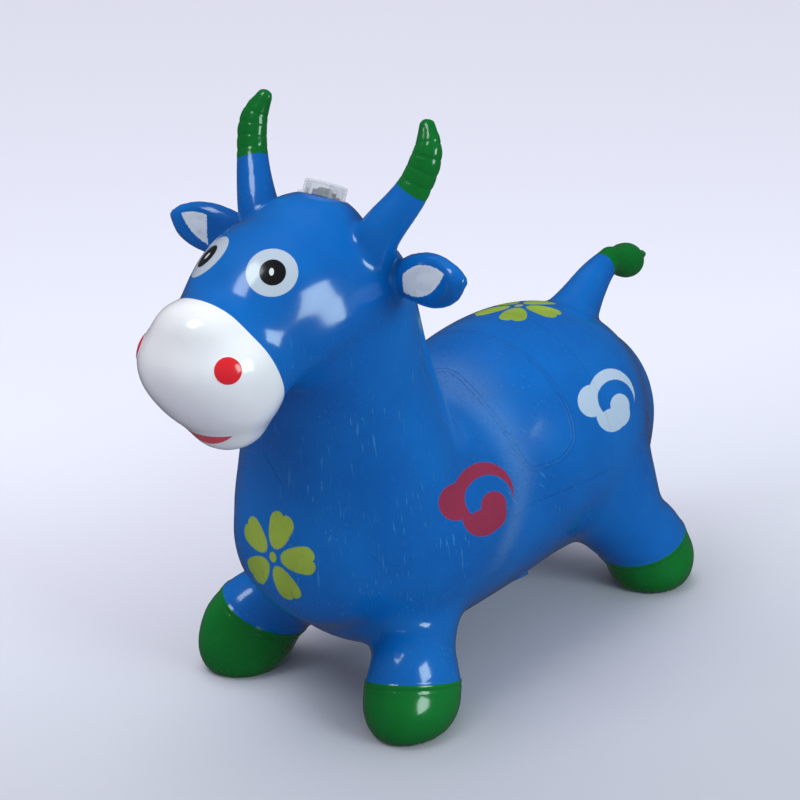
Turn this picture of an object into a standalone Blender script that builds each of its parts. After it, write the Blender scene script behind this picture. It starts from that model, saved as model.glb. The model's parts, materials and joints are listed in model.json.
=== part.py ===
"""Bouncy ride-on cow: one hollow vinyl skin, the air plug in its belly and the light module in its head.

Metres, +Z up. The cow stands on the floor at z = 0 and faces -Y, with its left side at +X.
"""

import math

import bmesh
import bpy
import numpy as np
from mathutils import Matrix, Vector
from mathutils.bvhtree import BVHTree

# Vinyl skin: wall, widths and heights of the main forms
WALL = 0.0022
CHEST_HALF_WIDTH = 0.120
WAIST_HALF_WIDTH = 0.114
RUMP_HALF_WIDTH = 0.119
NECK_HALF_WIDTH = 0.088
HEAD_HALF_WIDTH = 0.082
MUZZLE_HALF_WIDTH = 0.062
HOOF_HALF_WIDTH = 0.041
HOOF_HALF_LENGTH = 0.050
EAR_HALF_WIDTH = 0.023
EAR_HALF_THICKNESS = 0.0125
TUFT_RADIUS = 0.0172
HORN_TOP = 0.528
EAR_REACH = 0.157
NOSE_REACH = 0.287
TAIL_REACH = 0.360
FACE_SQUARENESS = 2.05

# Stations of each form: x, y, z of the centre, half width, half depth; MIDDLE_Y is halfway along the cow
MIDDLE_Y = 0.0138
TORSO = (
    (0, -0.154, 0.152, 0.086, 0.076),
    (0, -0.122, 0.150, 0.113, 0.103),
    (0, -0.075, 0.148, CHEST_HALF_WIDTH, 0.111),
    (0, 0.020, 0.139, WAIST_HALF_WIDTH, 0.101),
    (0, 0.110, 0.162, RUMP_HALF_WIDTH, 0.121),
    (0, 0.195, 0.164, 0.113, 0.117),
    (0, 0.246, 0.155, 0.086, 0.091),
)
NECK = (
    (0, -0.103, 0.170, 0.112, 0.100),
    (0, -0.110, 0.240, 0.099, 0.088),
    (0, -0.127, 0.300, NECK_HALF_WIDTH, 0.080),
    (0, -0.146, 0.360, 0.085, 0.082),
    (0, -0.154, 0.395, HEAD_HALF_WIDTH, 0.078),
    (0, -0.157, 0.418, 0.072, 0.064),
    (0, -0.158, 0.434, 0.052, 0.046),
)
FACE = (
    (0, -0.150, 0.396, 0.077, 0.058),
    (0, -0.200, 0.387, 0.074, 0.064),
    (0, -0.250, 0.3645, 0.060, 0.051),
    (0, -0.280, 0.357, 0.048, 0.043),
)
MUZZLE = (
    (0, -0.292, 0.385, 0.042, 0.032),
    (0, -NOSE_REACH, 0.366, 0.060, 0.052),
    (0, -0.274, 0.340, MUZZLE_HALF_WIDTH, 0.051),
    (0, -0.263, 0.313, 0.052, 0.042),
    (0, -0.259, 0.295, 0.036, 0.032),
)
FRONT_LEG = (
    (0.058, -0.093, 0.095, 0.050, 0.050),
    (0.0765, -0.1125, 0.061, 0.037, 0.040),
    (0.094, -0.133, 0.042, 0.0395, 0.047),
    (0.096, -0.139, 0.022, HOOF_HALF_WIDTH, HOOF_HALF_LENGTH),
    (0.0955, -0.140, 0.010, 0.0395, 0.048),
    (0.095, -0.140, 0.000, 0.033, 0.042),
    (0.0945, -0.140, -0.012, 0.022, 0.030),
)
REAR_LEG = (
    (0.062, 0.185, 0.120, 0.060, 0.066),
    (0.084, 0.209, 0.070, 0.042, 0.043),
    (0.094, 0.232, 0.045, 0.040, 0.045),
    (0.096, 0.242, 0.022, HOOF_HALF_WIDTH, HOOF_HALF_LENGTH),
    (0.0955, 0.243, 0.010, 0.0395, 0.047),
    (0.095, 0.243, 0.000, 0.033, 0.040),
    (0.0945, 0.243, -0.012, 0.022, 0.028),
)
HORN = (
    (0.055, -0.150, 0.420, 0.0200, 0.0220),
    (0.067, -0.145, 0.442, 0.0170, 0.0185),
    (0.0875, -0.128, 0.478, 0.0125, 0.0145),
    (0.0940, -0.118, 0.507, 0.0105, 0.0130),
    (0.0870, -0.110, HORN_TOP, 0.0060, 0.0070),
)
EAR = (
    (0.075, -0.130, 0.4015, 0.0135, 0.0115),
    (0.096, -0.138, 0.4065, 0.0200, 0.0125),
    (0.121, -0.146, 0.4115, EAR_HALF_WIDTH, EAR_HALF_THICKNESS),
    (0.140, -0.151, 0.4155, 0.0190, 0.0105),
    (0.151, -0.153, 0.4185, 0.0120, 0.0085),
    (EAR_REACH, -0.1535, 0.4195, 0.0060, 0.0050),
)
TAIL = (
    (0, 0.214, 0.240, 0.036, 0.038),
    (0, 0.246, 0.269, 0.023, 0.023),
    (0, 0.274, 0.290, 0.0165, 0.0165),
    (0, 0.300, 0.302, 0.0120, 0.0120),
)
TAIL_TUFT = (
    (0, 0.297, 0.3035, 0.0115, 0.0115),
    (0, 0.309, 0.299, 0.0130, 0.0130),
    (0, 0.322, 0.295, TUFT_RADIUS, TUFT_RADIUS),
    (0, 0.335, 0.292, TUFT_RADIUS, TUFT_RADIUS),
    (0, 0.346, 0.291, 0.0110, 0.0110),
    (0, 0.352, 0.2915, 0.0060, 0.0060),
    (0, TAIL_REACH, 0.2930, 0.0045, 0.0045),
)
ACROSS = Vector((1, 0, 0))
ALONG = Vector((0, 1, 0))
UPWARD = Vector((0, 0, 1))

# Moulding of the skin: grain of the fused forms, rounding of the creases and final facet counts
FORM_RINGS = 26
FORM_SIDES = 40
CAP_RINGS = 4
CAP_BULGE = 0.7
BODY_GRAIN = 0.004
SKIN_GRAIN = 0.003
BODY_ROUNDING = 45
SKIN_ROUNDING = 4
SKIN_FACETS = 3400
MERGE = 0.00001

# Folds that are eased at both flanks: y, z, reach along y, reach along z, start from the middle, rounds
FOLDS = (
    (-0.012, 0.190, 0.070, 0.080, 0.030, 150),
    (-0.205, 0.318, 0.055, 0.048, 0.020, 100),
)

# Belly valve and its plug
VALVE_Y = 0.068
VALVE_ANGLE = math.radians(30)
VALVE_START_Z = 0.150
BOSS_RADIUS = 0.0130
BOSS_PROUD = 0.0020
BOSS_DEPTH = 0.0100
PLUG_SHANK_RADIUS = 0.0050
PLUG_TIP_TAPER = 0.0008
PLUG_SHANK_LENGTH = 0.0120
PLUG_HEAD_RADIUS = 0.0090
PLUG_HEAD_HEIGHT = 0.0022
PLUG_EDGE = 0.0006

# Light module: gaps, cells and the holder round them
FIT = 0.0003
CELL_DIAMETER = 0.0116
CELL_THICKNESS = 0.00305
CELL_COUNT = 3
CELL_CAP_RATIO = 0.80
CELL_CAP_STEP = 0.0004
CONTACT_THICKNESS = 0.0004
CONTACT_WIDTH = 0.0080
CONTACT_HEIGHT = 0.0085
HOLDER_WALL = 0.0012
HOLDER_FLOOR = 0.0010
HOLDER_HEIGHT = 0.0100

# Light module: case, posts, screws and the seat in the head
MODULE_Y = -0.137
MODULE_TILT = math.radians(24)
SEAT_SINK = 0.0030
SEAT_MARGIN = 0.0008
POCKET_GAP = 0.0004
POST_COUNT = 3
POST_RADIUS = 0.0022
POST_GAP = 0.0018
POST_SINK = 0.0005
BASE_WALL = 0.0015
BASE_FLOOR = 0.0015
LEDGE_WIDTH = 0.0015
COVER_WALL = 0.0016
COVER_STEP = 0.0010
COVER_HEADROOM = 0.0026
COVER_EDGE = 0.0012
RIB_DEPTH = 0.0005
FLANGE_WIDTH = 0.0035
FLANGE_THICKNESS = 0.0014
SCREW_RADIUS = 0.0009
SCREW_HEAD_RADIUS = 0.0015
SCREW_HEAD_HEIGHT = 0.0010
SCREW_REACH = 0.0050

# Light module: board and what is on it
BOARD_TOP = -0.0048
BOARD_THICKNESS = 0.0012
LED_RADIUS = 0.0025
LED_RIM = 0.0004
LED_RIM_HEIGHT = 0.0010
LED_BARREL = 0.0050
LED_INSET = 0.0008
CHIP_RADIUS = 0.0040
CHIP_HEIGHT = 0.0016
CHIP_X = -0.0055
SWITCH_RADIUS = 0.0018
SWITCH_LENGTH = 0.0080
SWITCH_X = 0.0050
SWITCH_Y = 0.0045
PIEZO_RADIUS = 0.0115
PIEZO_THICKNESS = 0.0004
PIEZO_STAND = 0.0010
PIEZO_LEDGE = 0.0012
WIRE_RADIUS = 0.0005
WIRE_X = 0.0075
WIRE_Y = -0.0040
WIRE_SPACING = 0.0030
WIRE_BOW = 0.0010
BASE_ROOM = 0.0052
TURN_SEGMENTS = 40
SMALL_SEGMENTS = 16


def clear_scene():
    for thing in list(bpy.data.objects):
        bpy.data.objects.remove(thing, do_unlink=True)


def finish(name, colour, roughness, metallic=0.0, transmission=0.0):
    """A Principled material with the piece's own colour and gloss."""
    material = bpy.data.materials.new(name)
    material.use_nodes = True
    shader = material.node_tree.nodes["Principled BSDF"]
    shader.inputs["Base Color"].default_value = (*colour, 1.0)
    shader.inputs["Roughness"].default_value = roughness
    shader.inputs["Metallic"].default_value = metallic
    shader.inputs["Transmission Weight"].default_value = transmission
    return material


def new_object(name, bm, material=None, parent=None, smooth_angle=40):
    """Makes an object of a bmesh, with its faces outwards and its sharp edges kept."""
    bmesh.ops.recalc_face_normals(bm, faces=bm.faces)
    mesh = bpy.data.meshes.new(name)
    bm.to_mesh(mesh)
    bm.free()
    mesh.shade_smooth()
    mesh.set_sharp_from_angle(angle=math.radians(smooth_angle))
    piece = bpy.data.objects.new(name, mesh)
    bpy.context.collection.objects.link(piece)
    piece.parent = parent
    if material:
        mesh.materials.append(material)
    return piece


def apply_modifiers(piece):
    """Replaces the mesh by what its modifiers make of it."""
    graph = bpy.context.evaluated_depsgraph_get()
    mesh = bpy.data.meshes.new_from_object(piece.evaluated_get(graph))
    piece.modifiers.clear()
    piece.data = mesh


def cut(piece, cutter, operation="DIFFERENCE"):
    """Applies one Boolean and removes its cutter."""
    boolean = piece.modifiers.new("Boolean", "BOOLEAN")
    boolean.operation = operation
    boolean.solver = "EXACT"
    boolean.object = cutter
    apply_modifiers(piece)
    bpy.data.objects.remove(cutter, do_unlink=True)


def turned(profile, segments=TURN_SEGMENTS, rib_levels=(), rib_depth=0.0):
    """A solid of revolution about Z from (radius, height) points that start and end on the axis.

    Every other segment of the levels in rib_levels is drawn in by rib_depth, which leaves upright ribs.
    """
    bm = bmesh.new()
    rings = []
    for level, (radius, height) in enumerate(profile[1:-1], 1):
        ring = []
        for step in range(segments):
            angle = 2 * math.pi * (step + 0.5) / segments
            drawn_in = rib_depth if level in rib_levels and step % 2 else 0.0
            reach = radius - drawn_in
            ring.append(bm.verts.new((reach * math.cos(angle), reach * math.sin(angle), height)))
        rings.append(ring)
    for low, high in zip(rings, rings[1:]):
        for step in range(segments):
            after = (step + 1) % segments
            bm.faces.new((low[step], low[after], high[after], high[step]))
    for ring, beside, end in ((rings[0], profile[1], profile[0]), (rings[-1], profile[-2], profile[-1])):
        if beside[1] == end[1]:
            bm.faces.new(ring)
            continue
        pole = bm.verts.new((0, 0, end[1]))
        for step in range(segments):
            bm.faces.new((ring[step], ring[(step + 1) % segments], pole))
    return bm


def rod(radius, bottom, top, places=((0.0, 0.0),), segments=SMALL_SEGMENTS):
    """Plain upright cylinders, one at each (x, y) place."""
    bm = bmesh.new()
    for x, y in places:
        placed = Matrix.Translation((x, y, (bottom + top) / 2))
        bmesh.ops.create_cone(
            bm, cap_ends=True, segments=segments, radius1=radius, radius2=radius, depth=top - bottom, matrix=placed
        )
    return bm


def block(size, centre):
    bm = bmesh.new()
    bmesh.ops.create_cube(bm, size=1.0)
    bmesh.ops.scale(bm, vec=size, verts=bm.verts)
    bmesh.ops.translate(bm, vec=centre, verts=bm.verts)
    return bm


def tool(bm, placed=None):
    """An object that only cuts or joins, set at a placement."""
    piece = new_object("tool", bm)
    piece.display_type = "WIRE"
    piece.hide_render = True
    if placed is not None:
        piece.data.transform(placed)
    return piece


def between_stations(stations, count):
    """Rows on a smooth curve through the stations, evenly spread."""
    keys = np.array(stations, dtype=float)
    spans = np.sqrt(np.linalg.norm(np.diff(keys[:, :3], axis=0), axis=1))
    reach = np.concatenate(([0.0], np.cumsum(spans)))
    slope = np.gradient(keys, reach, axis=0)
    places = np.linspace(0.0, reach[-1], count)
    index = np.clip(np.searchsorted(reach, places, side="right") - 1, 0, len(keys) - 2)
    span = (reach[index + 1] - reach[index])[:, None]
    t = (places - reach[index])[:, None] / span
    start = (1 + 2 * t) * (1 - t) ** 2 * keys[index] + t * (1 - t) ** 2 * span * slope[index]
    end = t**2 * (3 - 2 * t) * keys[index + 1] - t**2 * (1 - t) * span * slope[index + 1]
    return start + end


def rounded(value, squareness):
    """Draws a sine or cosine out towards its ends, which squares a round section."""
    return math.copysign(abs(value) ** (2 / squareness), value)


def loft(stations, side=ACROSS, ring_count=FORM_RINGS, sides=FORM_SIDES, squareness=2.0):
    """A round-ended loft through elliptical stations, or squarer ones."""
    rows = between_stations(stations, ring_count)
    heading = np.gradient(rows[:, :3], axis=0)
    sections = []
    for row, direction in zip(rows, heading):
        sections.append((Vector(row[:3]), Vector(direction).normalized(), row[3], row[4]))
    caps = []
    for section, outward in ((sections[0], -1), (sections[-1], 1)):
        centre, direction, wide, deep = section
        bulge = direction * outward * CAP_BULGE * min(wide, deep)
        cap = []
        for step in range(1, CAP_RINGS + 1):
            angle = math.pi / 2 * step / (CAP_RINGS + 1)
            shrink = math.cos(angle)
            cap.append((centre + bulge * math.sin(angle), direction, wide * shrink, deep * shrink))
        caps.append((cap, centre + bulge))
    (first_cap, first_pole), (last_cap, last_pole) = caps
    sections = first_cap[::-1] + sections + last_cap

    bm = bmesh.new()
    rings = [[bm.verts.new(first_pole)] * sides]
    for centre, direction, wide, deep in sections:
        across = (side - direction * side.dot(direction)).normalized()
        other = direction.cross(across)
        ring = []
        for step in range(sides):
            angle = 2 * math.pi * step / sides
            offset = across * wide * rounded(math.cos(angle), squareness)
            offset += other * deep * rounded(math.sin(angle), squareness)
            ring.append(bm.verts.new(centre + offset))
        rings.append(ring)
    rings.append([bm.verts.new(last_pole)] * sides)
    for low, high in zip(rings, rings[1:]):
        for step in range(sides):
            after = (step + 1) % sides
            corners = (low[step], low[after], high[after], high[step])
            bm.faces.new(list(dict.fromkeys(corners)))
    return bm


def form(name, stations, side=ACROSS, mirrored=False, squareness=2.0):
    """One form of the cow, on the left side or mirrored to the right."""
    bm = loft(stations, side, squareness=squareness)
    bmesh.ops.translate(bm, vec=(0, -MIDDLE_Y, 0), verts=bm.verts)
    if mirrored:
        bmesh.ops.scale(bm, vec=(-1, 1, 1), verts=bm.verts)
    return new_object(name, bm)


def pair(name, stations, side=ACROSS):
    return [form(name, stations, side), form(name, stations, side, mirrored=True)]


def fused(name, pieces, grain, rounding):
    """One closed surface round overlapping forms, with its creases rounded."""
    bm = bmesh.new()
    for piece in pieces:
        bm.from_mesh(piece.data)
        bpy.data.objects.remove(piece, do_unlink=True)
    whole = new_object(name, bm)
    remesh = whole.modifiers.new("Fuse", "REMESH")
    remesh.mode = "VOXEL"
    remesh.voxel_size = grain
    smooth = whole.modifiers.new("Round creases", "SMOOTH")
    smooth.factor = 0.5
    smooth.iterations = rounding
    apply_modifiers(whole)
    return whole


def thinned(piece, facets):
    """Fewer facets: the left half is thinned and mirrored, so that both sides match."""
    apply_modifiers(piece)
    bm = bmesh.new()
    bm.from_mesh(piece.data)
    everything = bm.verts[:] + bm.edges[:] + bm.faces[:]
    bmesh.ops.bisect_plane(bm, geom=everything, dist=1e-6, plane_co=(0, 0, 0), plane_no=ACROSS, clear_inner=True)
    bm.to_mesh(piece.data)
    bm.free()
    decimate = piece.modifiers.new("Thin", "DECIMATE")
    decimate.ratio = facets / 2 / sum(len(face.vertices) - 2 for face in piece.data.polygons)
    decimate.use_collapse_triangulate = True
    apply_modifiers(piece)
    bm = bmesh.new()
    bm.from_mesh(piece.data)
    for edge in bm.edges:
        if edge.is_boundary:
            for corner in edge.verts:
                corner.co.x = 0.0
    bm.to_mesh(piece.data)
    bm.free()
    mirror = piece.modifiers.new("Both sides", "MIRROR")
    mirror.merge_threshold = MERGE
    apply_modifiers(piece)


def cut_flat_below(piece, height):
    """Cuts the hooves level, so that they stand on flat soles."""
    bm = bmesh.new()
    bm.from_mesh(piece.data)
    everything = bm.verts[:] + bm.edges[:] + bm.faces[:]
    bmesh.ops.bisect_plane(
        bm, geom=everything, dist=1e-6, plane_co=(0, 0, height), plane_no=UPWARD, clear_inner=True
    )
    rim = [edge for edge in bm.edges if edge.is_boundary]
    bmesh.ops.edgeloop_fill(bm, edges=rim)
    bmesh.ops.triangulate(bm, faces=[face for face in bm.faces if len(face.verts) > 3])
    bmesh.ops.recalc_face_normals(bm, faces=bm.faces)
    bm.to_mesh(piece.data)
    bm.free()


def ease_folds(piece):
    """Eases the folds where the neck runs into the back and into the jaw."""
    for middle_y, middle_z, length, height, inside, rounds in FOLDS:
        group = piece.vertex_groups.new(name="fold")
        for vertex in piece.data.vertices:
            along = (vertex.co.y - middle_y) / length
            upright = (vertex.co.z - middle_z) / height
            outward = min(1.0, max(0.0, abs(vertex.co.x) / inside - 1))
            weight = outward * (1 - along * along - upright * upright)
            if weight > 0:
                group.add([vertex.index], weight, "REPLACE")
        smooth = piece.modifiers.new("Ease fold", "SMOOTH")
        smooth.vertex_group = "fold"
        smooth.factor = 0.5
        smooth.iterations = rounds
        apply_modifiers(piece)
        piece.vertex_groups.clear()


def cow_form():
    """The whole cow as one smooth closed surface."""
    large = [form("torso", TORSO), form("neck", NECK), form("muzzle", MUZZLE)]
    large.append(form("face", FACE, squareness=FACE_SQUARENESS))
    large += pair("front_leg", FRONT_LEG) + pair("rear_leg", REAR_LEG)
    body = fused("body", large, BODY_GRAIN, BODY_ROUNDING)
    ease_folds(body)
    small = [body, form("tail", TAIL), form("tuft", TAIL_TUFT)]
    small += pair("horn", HORN, ALONG) + pair("ear", EAR, UPWARD)
    return fused("body_skin", small, SKIN_GRAIN, SKIN_ROUNDING)


def surface_hit(piece, start, direction):
    """Where a straight line from start meets the piece."""
    bm = bmesh.new()
    bm.from_mesh(piece.data)
    tree = BVHTree.FromBMesh(bm)
    bm.free()
    return tree.ray_cast(Vector(start), Vector(direction))[0]


def module_sizes():
    """Sizes of the module's case, worked out from the cells that it holds."""
    stack = CELL_COUNT * CELL_THICKNESS + (CELL_COUNT + 3) * FIT + 2 * CONTACT_THICKNESS
    size = {"stack": stack}
    size["holder_length"] = stack + 2 * HOLDER_WALL
    size["holder_width"] = CELL_DIAMETER + 2 * FIT + 2 * HOLDER_WALL
    size["post_orbit"] = math.hypot(size["holder_length"], size["holder_width"]) / 2 + POST_GAP + POST_RADIUS
    size["base_inner"] = size["post_orbit"] + POST_RADIUS - POST_SINK
    size["base_radius"] = size["base_inner"] + BASE_WALL
    size["cover_radius"] = size["base_radius"] + COVER_STEP
    size["flange_radius"] = size["cover_radius"] + FLANGE_WIDTH
    size["holder_bottom"] = BOARD_TOP + FIT
    size["cell_z"] = size["holder_bottom"] + HOLDER_FLOOR + FIT + CELL_DIAMETER / 2
    size["cover_top"] = size["cell_z"] + CELL_DIAMETER / 2 + COVER_HEADROOM + COVER_WALL
    size["board_bottom"] = BOARD_TOP - BOARD_THICKNESS
    size["piezo_top"] = size["board_bottom"] - BASE_ROOM
    size["piezo_bottom"] = size["piezo_top"] - PIEZO_THICKNESS
    size["floor_top"] = size["piezo_bottom"] - FIT - PIEZO_STAND
    size["base_bottom"] = size["floor_top"] - BASE_FLOOR
    return size


def pocket_tool(size, seat, grown=0.0):
    """Cutter for the flat seat and the round pocket in the head, or for the wall behind them when grown."""
    seat_radius = size["flange_radius"] + SEAT_MARGIN + grown
    hole_radius = size["base_radius"] + POCKET_GAP + grown
    seat_z = -FIT - grown
    bottom = size["base_bottom"] - POCKET_GAP - grown
    top = size["cover_top"] + seat_radius
    profile = ((0, bottom), (hole_radius, bottom), (hole_radius, seat_z), (seat_radius, seat_z))
    return tool(turned(profile + ((seat_radius, top), (0, top))), seat)


def body_skin(size):
    """The moulded skin with its head pocket and belly valve; returns it with both placements."""
    outer = cow_form()
    thinned(outer, SKIN_FACETS)
    inner = outer.copy()
    inner.data = outer.data.copy()
    bpy.context.collection.objects.link(inner)
    shrink = inner.modifiers.new("Wall", "DISPLACE")
    shrink.mid_level = 0.0
    shrink.strength = -WALL
    apply_modifiers(inner)

    module_axis = Vector((0, math.sin(MODULE_TILT), math.cos(MODULE_TILT)))
    crown = surface_hit(outer, (0, MODULE_Y - MIDDLE_Y, 1), -UPWARD)
    seat = Matrix.Translation(crown - module_axis * SEAT_SINK) @ Matrix.Rotation(-MODULE_TILT, 4, "X")
    valve_axis = Vector((math.sin(VALVE_ANGLE), 0, -math.cos(VALVE_ANGLE)))
    belly = surface_hit(outer, (0, VALVE_Y - MIDDLE_Y, VALVE_START_Z), valve_axis)
    turn = UPWARD.rotation_difference(valve_axis).to_matrix().to_4x4()
    valve = Matrix.Translation(belly) @ turn

    cut(outer, pocket_tool(size, seat))
    cut(outer, tool(rod(BOSS_RADIUS, -BOSS_DEPTH, BOSS_PROUD, segments=TURN_SEGMENTS), valve), "UNION")
    cut_flat_below(outer, 0.0)
    cut(inner, pocket_tool(size, seat, WALL))
    cut(inner, tool(rod(BOSS_RADIUS, -BOSS_DEPTH, BOSS_PROUD + WALL), valve))
    cut_flat_below(inner, WALL)
    cut(outer, inner)
    hole_radius = PLUG_SHANK_RADIUS + FIT
    hole = tool(rod(hole_radius, -BOSS_DEPTH - BOSS_RADIUS, BOSS_RADIUS, segments=TURN_SEGMENTS), valve)
    cut(outer, hole)

    outer.name = "body_skin"
    outer.data.shade_smooth()
    outer.data.set_sharp_from_angle(angle=math.radians(40))
    outer.data.materials.append(finish("blue_vinyl", (0.005, 0.115, 0.48), 0.28))
    return outer, seat, valve


def frame_at(name, placed):
    """An empty that carries the pieces of one moving body."""
    empty = bpy.data.objects.new(name, None)
    bpy.context.collection.objects.link(empty)
    empty.matrix_world = placed
    bpy.context.view_layer.update()
    return empty


def air_plug(valve):
    """Push-in plug: a flat head on the boss and a shank that tapers into the valve."""
    carrier = frame_at("plug_frame", valve)
    under = BOSS_PROUD + FIT
    top = under + PLUG_HEAD_HEIGHT
    tip = under - PLUG_SHANK_LENGTH
    tip_radius = PLUG_SHANK_RADIUS - PLUG_TIP_TAPER
    profile = (
        (0, tip),
        (tip_radius - PLUG_EDGE, tip),
        (tip_radius, tip + PLUG_EDGE),
        (PLUG_SHANK_RADIUS, under),
        (PLUG_HEAD_RADIUS, under),
        (PLUG_HEAD_RADIUS, top - PLUG_EDGE),
        (PLUG_HEAD_RADIUS - PLUG_EDGE, top),
        (0, top),
    )
    new_object("air_plug", turned(profile), finish("white_plug", (0.75, 0.76, 0.78), 0.4), carrier)


def post_places(size):
    """Where the screw posts stand, as (x, y) places."""
    places = []
    for index in range(POST_COUNT):
        angle = math.pi / 2 + 2 * math.pi * index / POST_COUNT
        places.append((size["post_orbit"] * math.cos(angle), size["post_orbit"] * math.sin(angle)))
    return places


def module_cover(size, carrier):
    """Clear ribbed cap with its flange and three screw posts."""
    inner = size["cover_radius"] - COVER_WALL
    top = size["cover_top"]
    profile = (
        (0, top - COVER_WALL),
        (inner, top - COVER_WALL),
        (inner, 0),
        (size["flange_radius"], 0),
        (size["flange_radius"], FLANGE_THICKNESS),
        (size["cover_radius"], FLANGE_THICKNESS),
        (size["cover_radius"], top - COVER_EDGE),
        (size["cover_radius"] - COVER_EDGE, top),
        (0, top),
    )
    clear = finish("clear_plastic", (0.85, 0.88, 0.90), 0.12, transmission=0.8)
    cover = new_object("module_cover", turned(profile, 2 * TURN_SEGMENTS, (5, 6), RIB_DEPTH), clear)
    places = post_places(size)
    cut(cover, tool(rod(POST_RADIUS, 0, top - COVER_WALL / 2, places)), "UNION")
    cut(cover, tool(rod(SCREW_RADIUS + FIT, -POST_RADIUS, SCREW_REACH + FIT, places)))
    cover.parent = carrier


def module_base(size, carrier):
    """Cup that sits in the head pocket, with a ledge for the board, a ring for the buzzer and three posts."""
    floor = size["floor_top"]
    bottom = size["base_bottom"]
    ledge_radius = size["base_inner"] - LEDGE_WIDTH
    ledge_top = size["board_bottom"] - FIT
    ring_top = floor + PIEZO_STAND
    profile = (
        (0, bottom),
        (size["base_radius"] - BASE_WALL / 2, bottom),
        (size["base_radius"], bottom + BASE_WALL / 2),
        (size["base_radius"], -FIT),
        (size["base_inner"], -FIT),
        (size["base_inner"], ledge_top),
        (ledge_radius, ledge_top),
        (ledge_radius, floor),
        (PIEZO_RADIUS, floor),
        (PIEZO_RADIUS, ring_top),
        (PIEZO_RADIUS - PIEZO_LEDGE, ring_top),
        (PIEZO_RADIUS - PIEZO_LEDGE, floor),
        (0, floor),
    )
    grey = finish("grey_plastic", (0.55, 0.56, 0.58), 0.45)
    base = new_object("module_base", turned(profile), grey)
    places = post_places(size)
    sunk_to = bottom + SCREW_HEAD_HEIGHT + 2 * FIT
    cut(base, tool(rod(POST_RADIUS, floor - BASE_FLOOR / 2, -2 * FIT, places)), "UNION")
    cut(base, tool(rod(SCREW_RADIUS + FIT, bottom - POST_RADIUS, POST_RADIUS, places)))
    cut(base, tool(rod(SCREW_HEAD_RADIUS + FIT, bottom - POST_RADIUS, sunk_to, places)))
    base.parent = carrier


def module_screws(size, carrier):
    steel = finish("screw_steel", (0.55, 0.55, 0.56), 0.35, metallic=1.0)
    head_bottom = size["base_bottom"] + FIT
    head_top = head_bottom + SCREW_HEAD_HEIGHT
    profile = (
        (0, head_bottom),
        (SCREW_HEAD_RADIUS, head_bottom),
        (SCREW_HEAD_RADIUS, head_top),
        (SCREW_RADIUS, head_top),
        (SCREW_RADIUS, SCREW_REACH - SCREW_RADIUS),
        (0, SCREW_REACH),
    )
    for number, (x, y) in enumerate(post_places(size), 1):
        bm = turned(profile, SMALL_SEGMENTS)
        bmesh.ops.translate(bm, vec=(x, y, 0), verts=bm.verts)
        new_object(f"case_screw_{number}", bm, steel, carrier)


def circuit_board(size, carrier):
    """Round board on the base's ledge, notched round the posts."""
    radius = size["base_inner"] - FIT
    bottom = size["board_bottom"]
    green = finish("board_green", (0.02, 0.16, 0.06), 0.5)
    board = new_object("circuit_board", rod(radius, bottom, BOARD_TOP, segments=TURN_SEGMENTS), green)
    cut(board, tool(rod(POST_RADIUS + FIT, bottom - FIT, BOARD_TOP + FIT, post_places(size))))
    board.parent = carrier


def battery_holder(size, carrier):
    """Open trough that holds the cells on edge, end to end, with a contact at each end."""
    black = finish("black_plastic", (0.012, 0.012, 0.014), 0.5)
    bottom = size["holder_bottom"]
    centre = (0, 0, bottom + HOLDER_HEIGHT / 2)
    outside = (size["holder_length"], size["holder_width"], HOLDER_HEIGHT)
    holder = new_object("battery_holder", block(outside, centre), black)
    bm = bmesh.new()
    reach = CELL_DIAMETER / 2 + FIT
    outline = [(reach, HOLDER_HEIGHT), (-reach, HOLDER_HEIGHT)]
    for step in range(SMALL_SEGMENTS + 1):
        angle = math.pi * (1 + step / SMALL_SEGMENTS)
        outline.append((reach * math.cos(angle), reach * math.sin(angle)))
    corners = [bm.verts.new((-size["stack"] / 2, y, size["cell_z"] + z)) for y, z in outline]
    channel = bmesh.ops.extrude_face_region(bm, geom=[bm.faces.new(corners)])
    moved = [thing for thing in channel["geom"] if isinstance(thing, bmesh.types.BMVert)]
    bmesh.ops.translate(bm, vec=(size["stack"], 0, 0), verts=moved)
    cut(holder, tool(bm))
    holder.parent = carrier

    plated = finish("plated_contact", (0.75, 0.72, 0.62), 0.3, metallic=1.0)
    contact_x = size["stack"] / 2 - FIT - CONTACT_THICKNESS / 2
    plate = (CONTACT_THICKNESS, CONTACT_WIDTH, CONTACT_HEIGHT)
    for name, x in (("contact_positive", contact_x), ("contact_negative", -contact_x)):
        new_object(name, block(plate, (x, 0, size["cell_z"])), plated, carrier)


def button_cells(size, carrier):
    steel = finish("cell_steel", (0.70, 0.70, 0.71), 0.25, metallic=1.0)
    radius = CELL_DIAMETER / 2
    half = CELL_THICKNESS / 2
    profile = (
        (0, -half),
        (radius * CELL_CAP_RATIO, -half),
        (radius * CELL_CAP_RATIO, -half + CELL_CAP_STEP),
        (radius, -half + CELL_CAP_STEP),
        (radius, half - CELL_CAP_STEP / 2),
        (radius - CELL_CAP_STEP / 2, half),
        (0, half),
    )
    pitch = CELL_THICKNESS + FIT
    for index in range(CELL_COUNT):
        x = (index - (CELL_COUNT - 1) / 2) * pitch
        bm = turned(profile, TURN_SEGMENTS // 2 + 4)
        bmesh.ops.rotate(bm, matrix=Matrix.Rotation(math.pi / 2, 3, "Y"), verts=bm.verts)
        bmesh.ops.translate(bm, vec=(x, 0, size["cell_z"]), verts=bm.verts)
        new_object(f"button_cell_{index + 1}", bm, steel, carrier)


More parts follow.
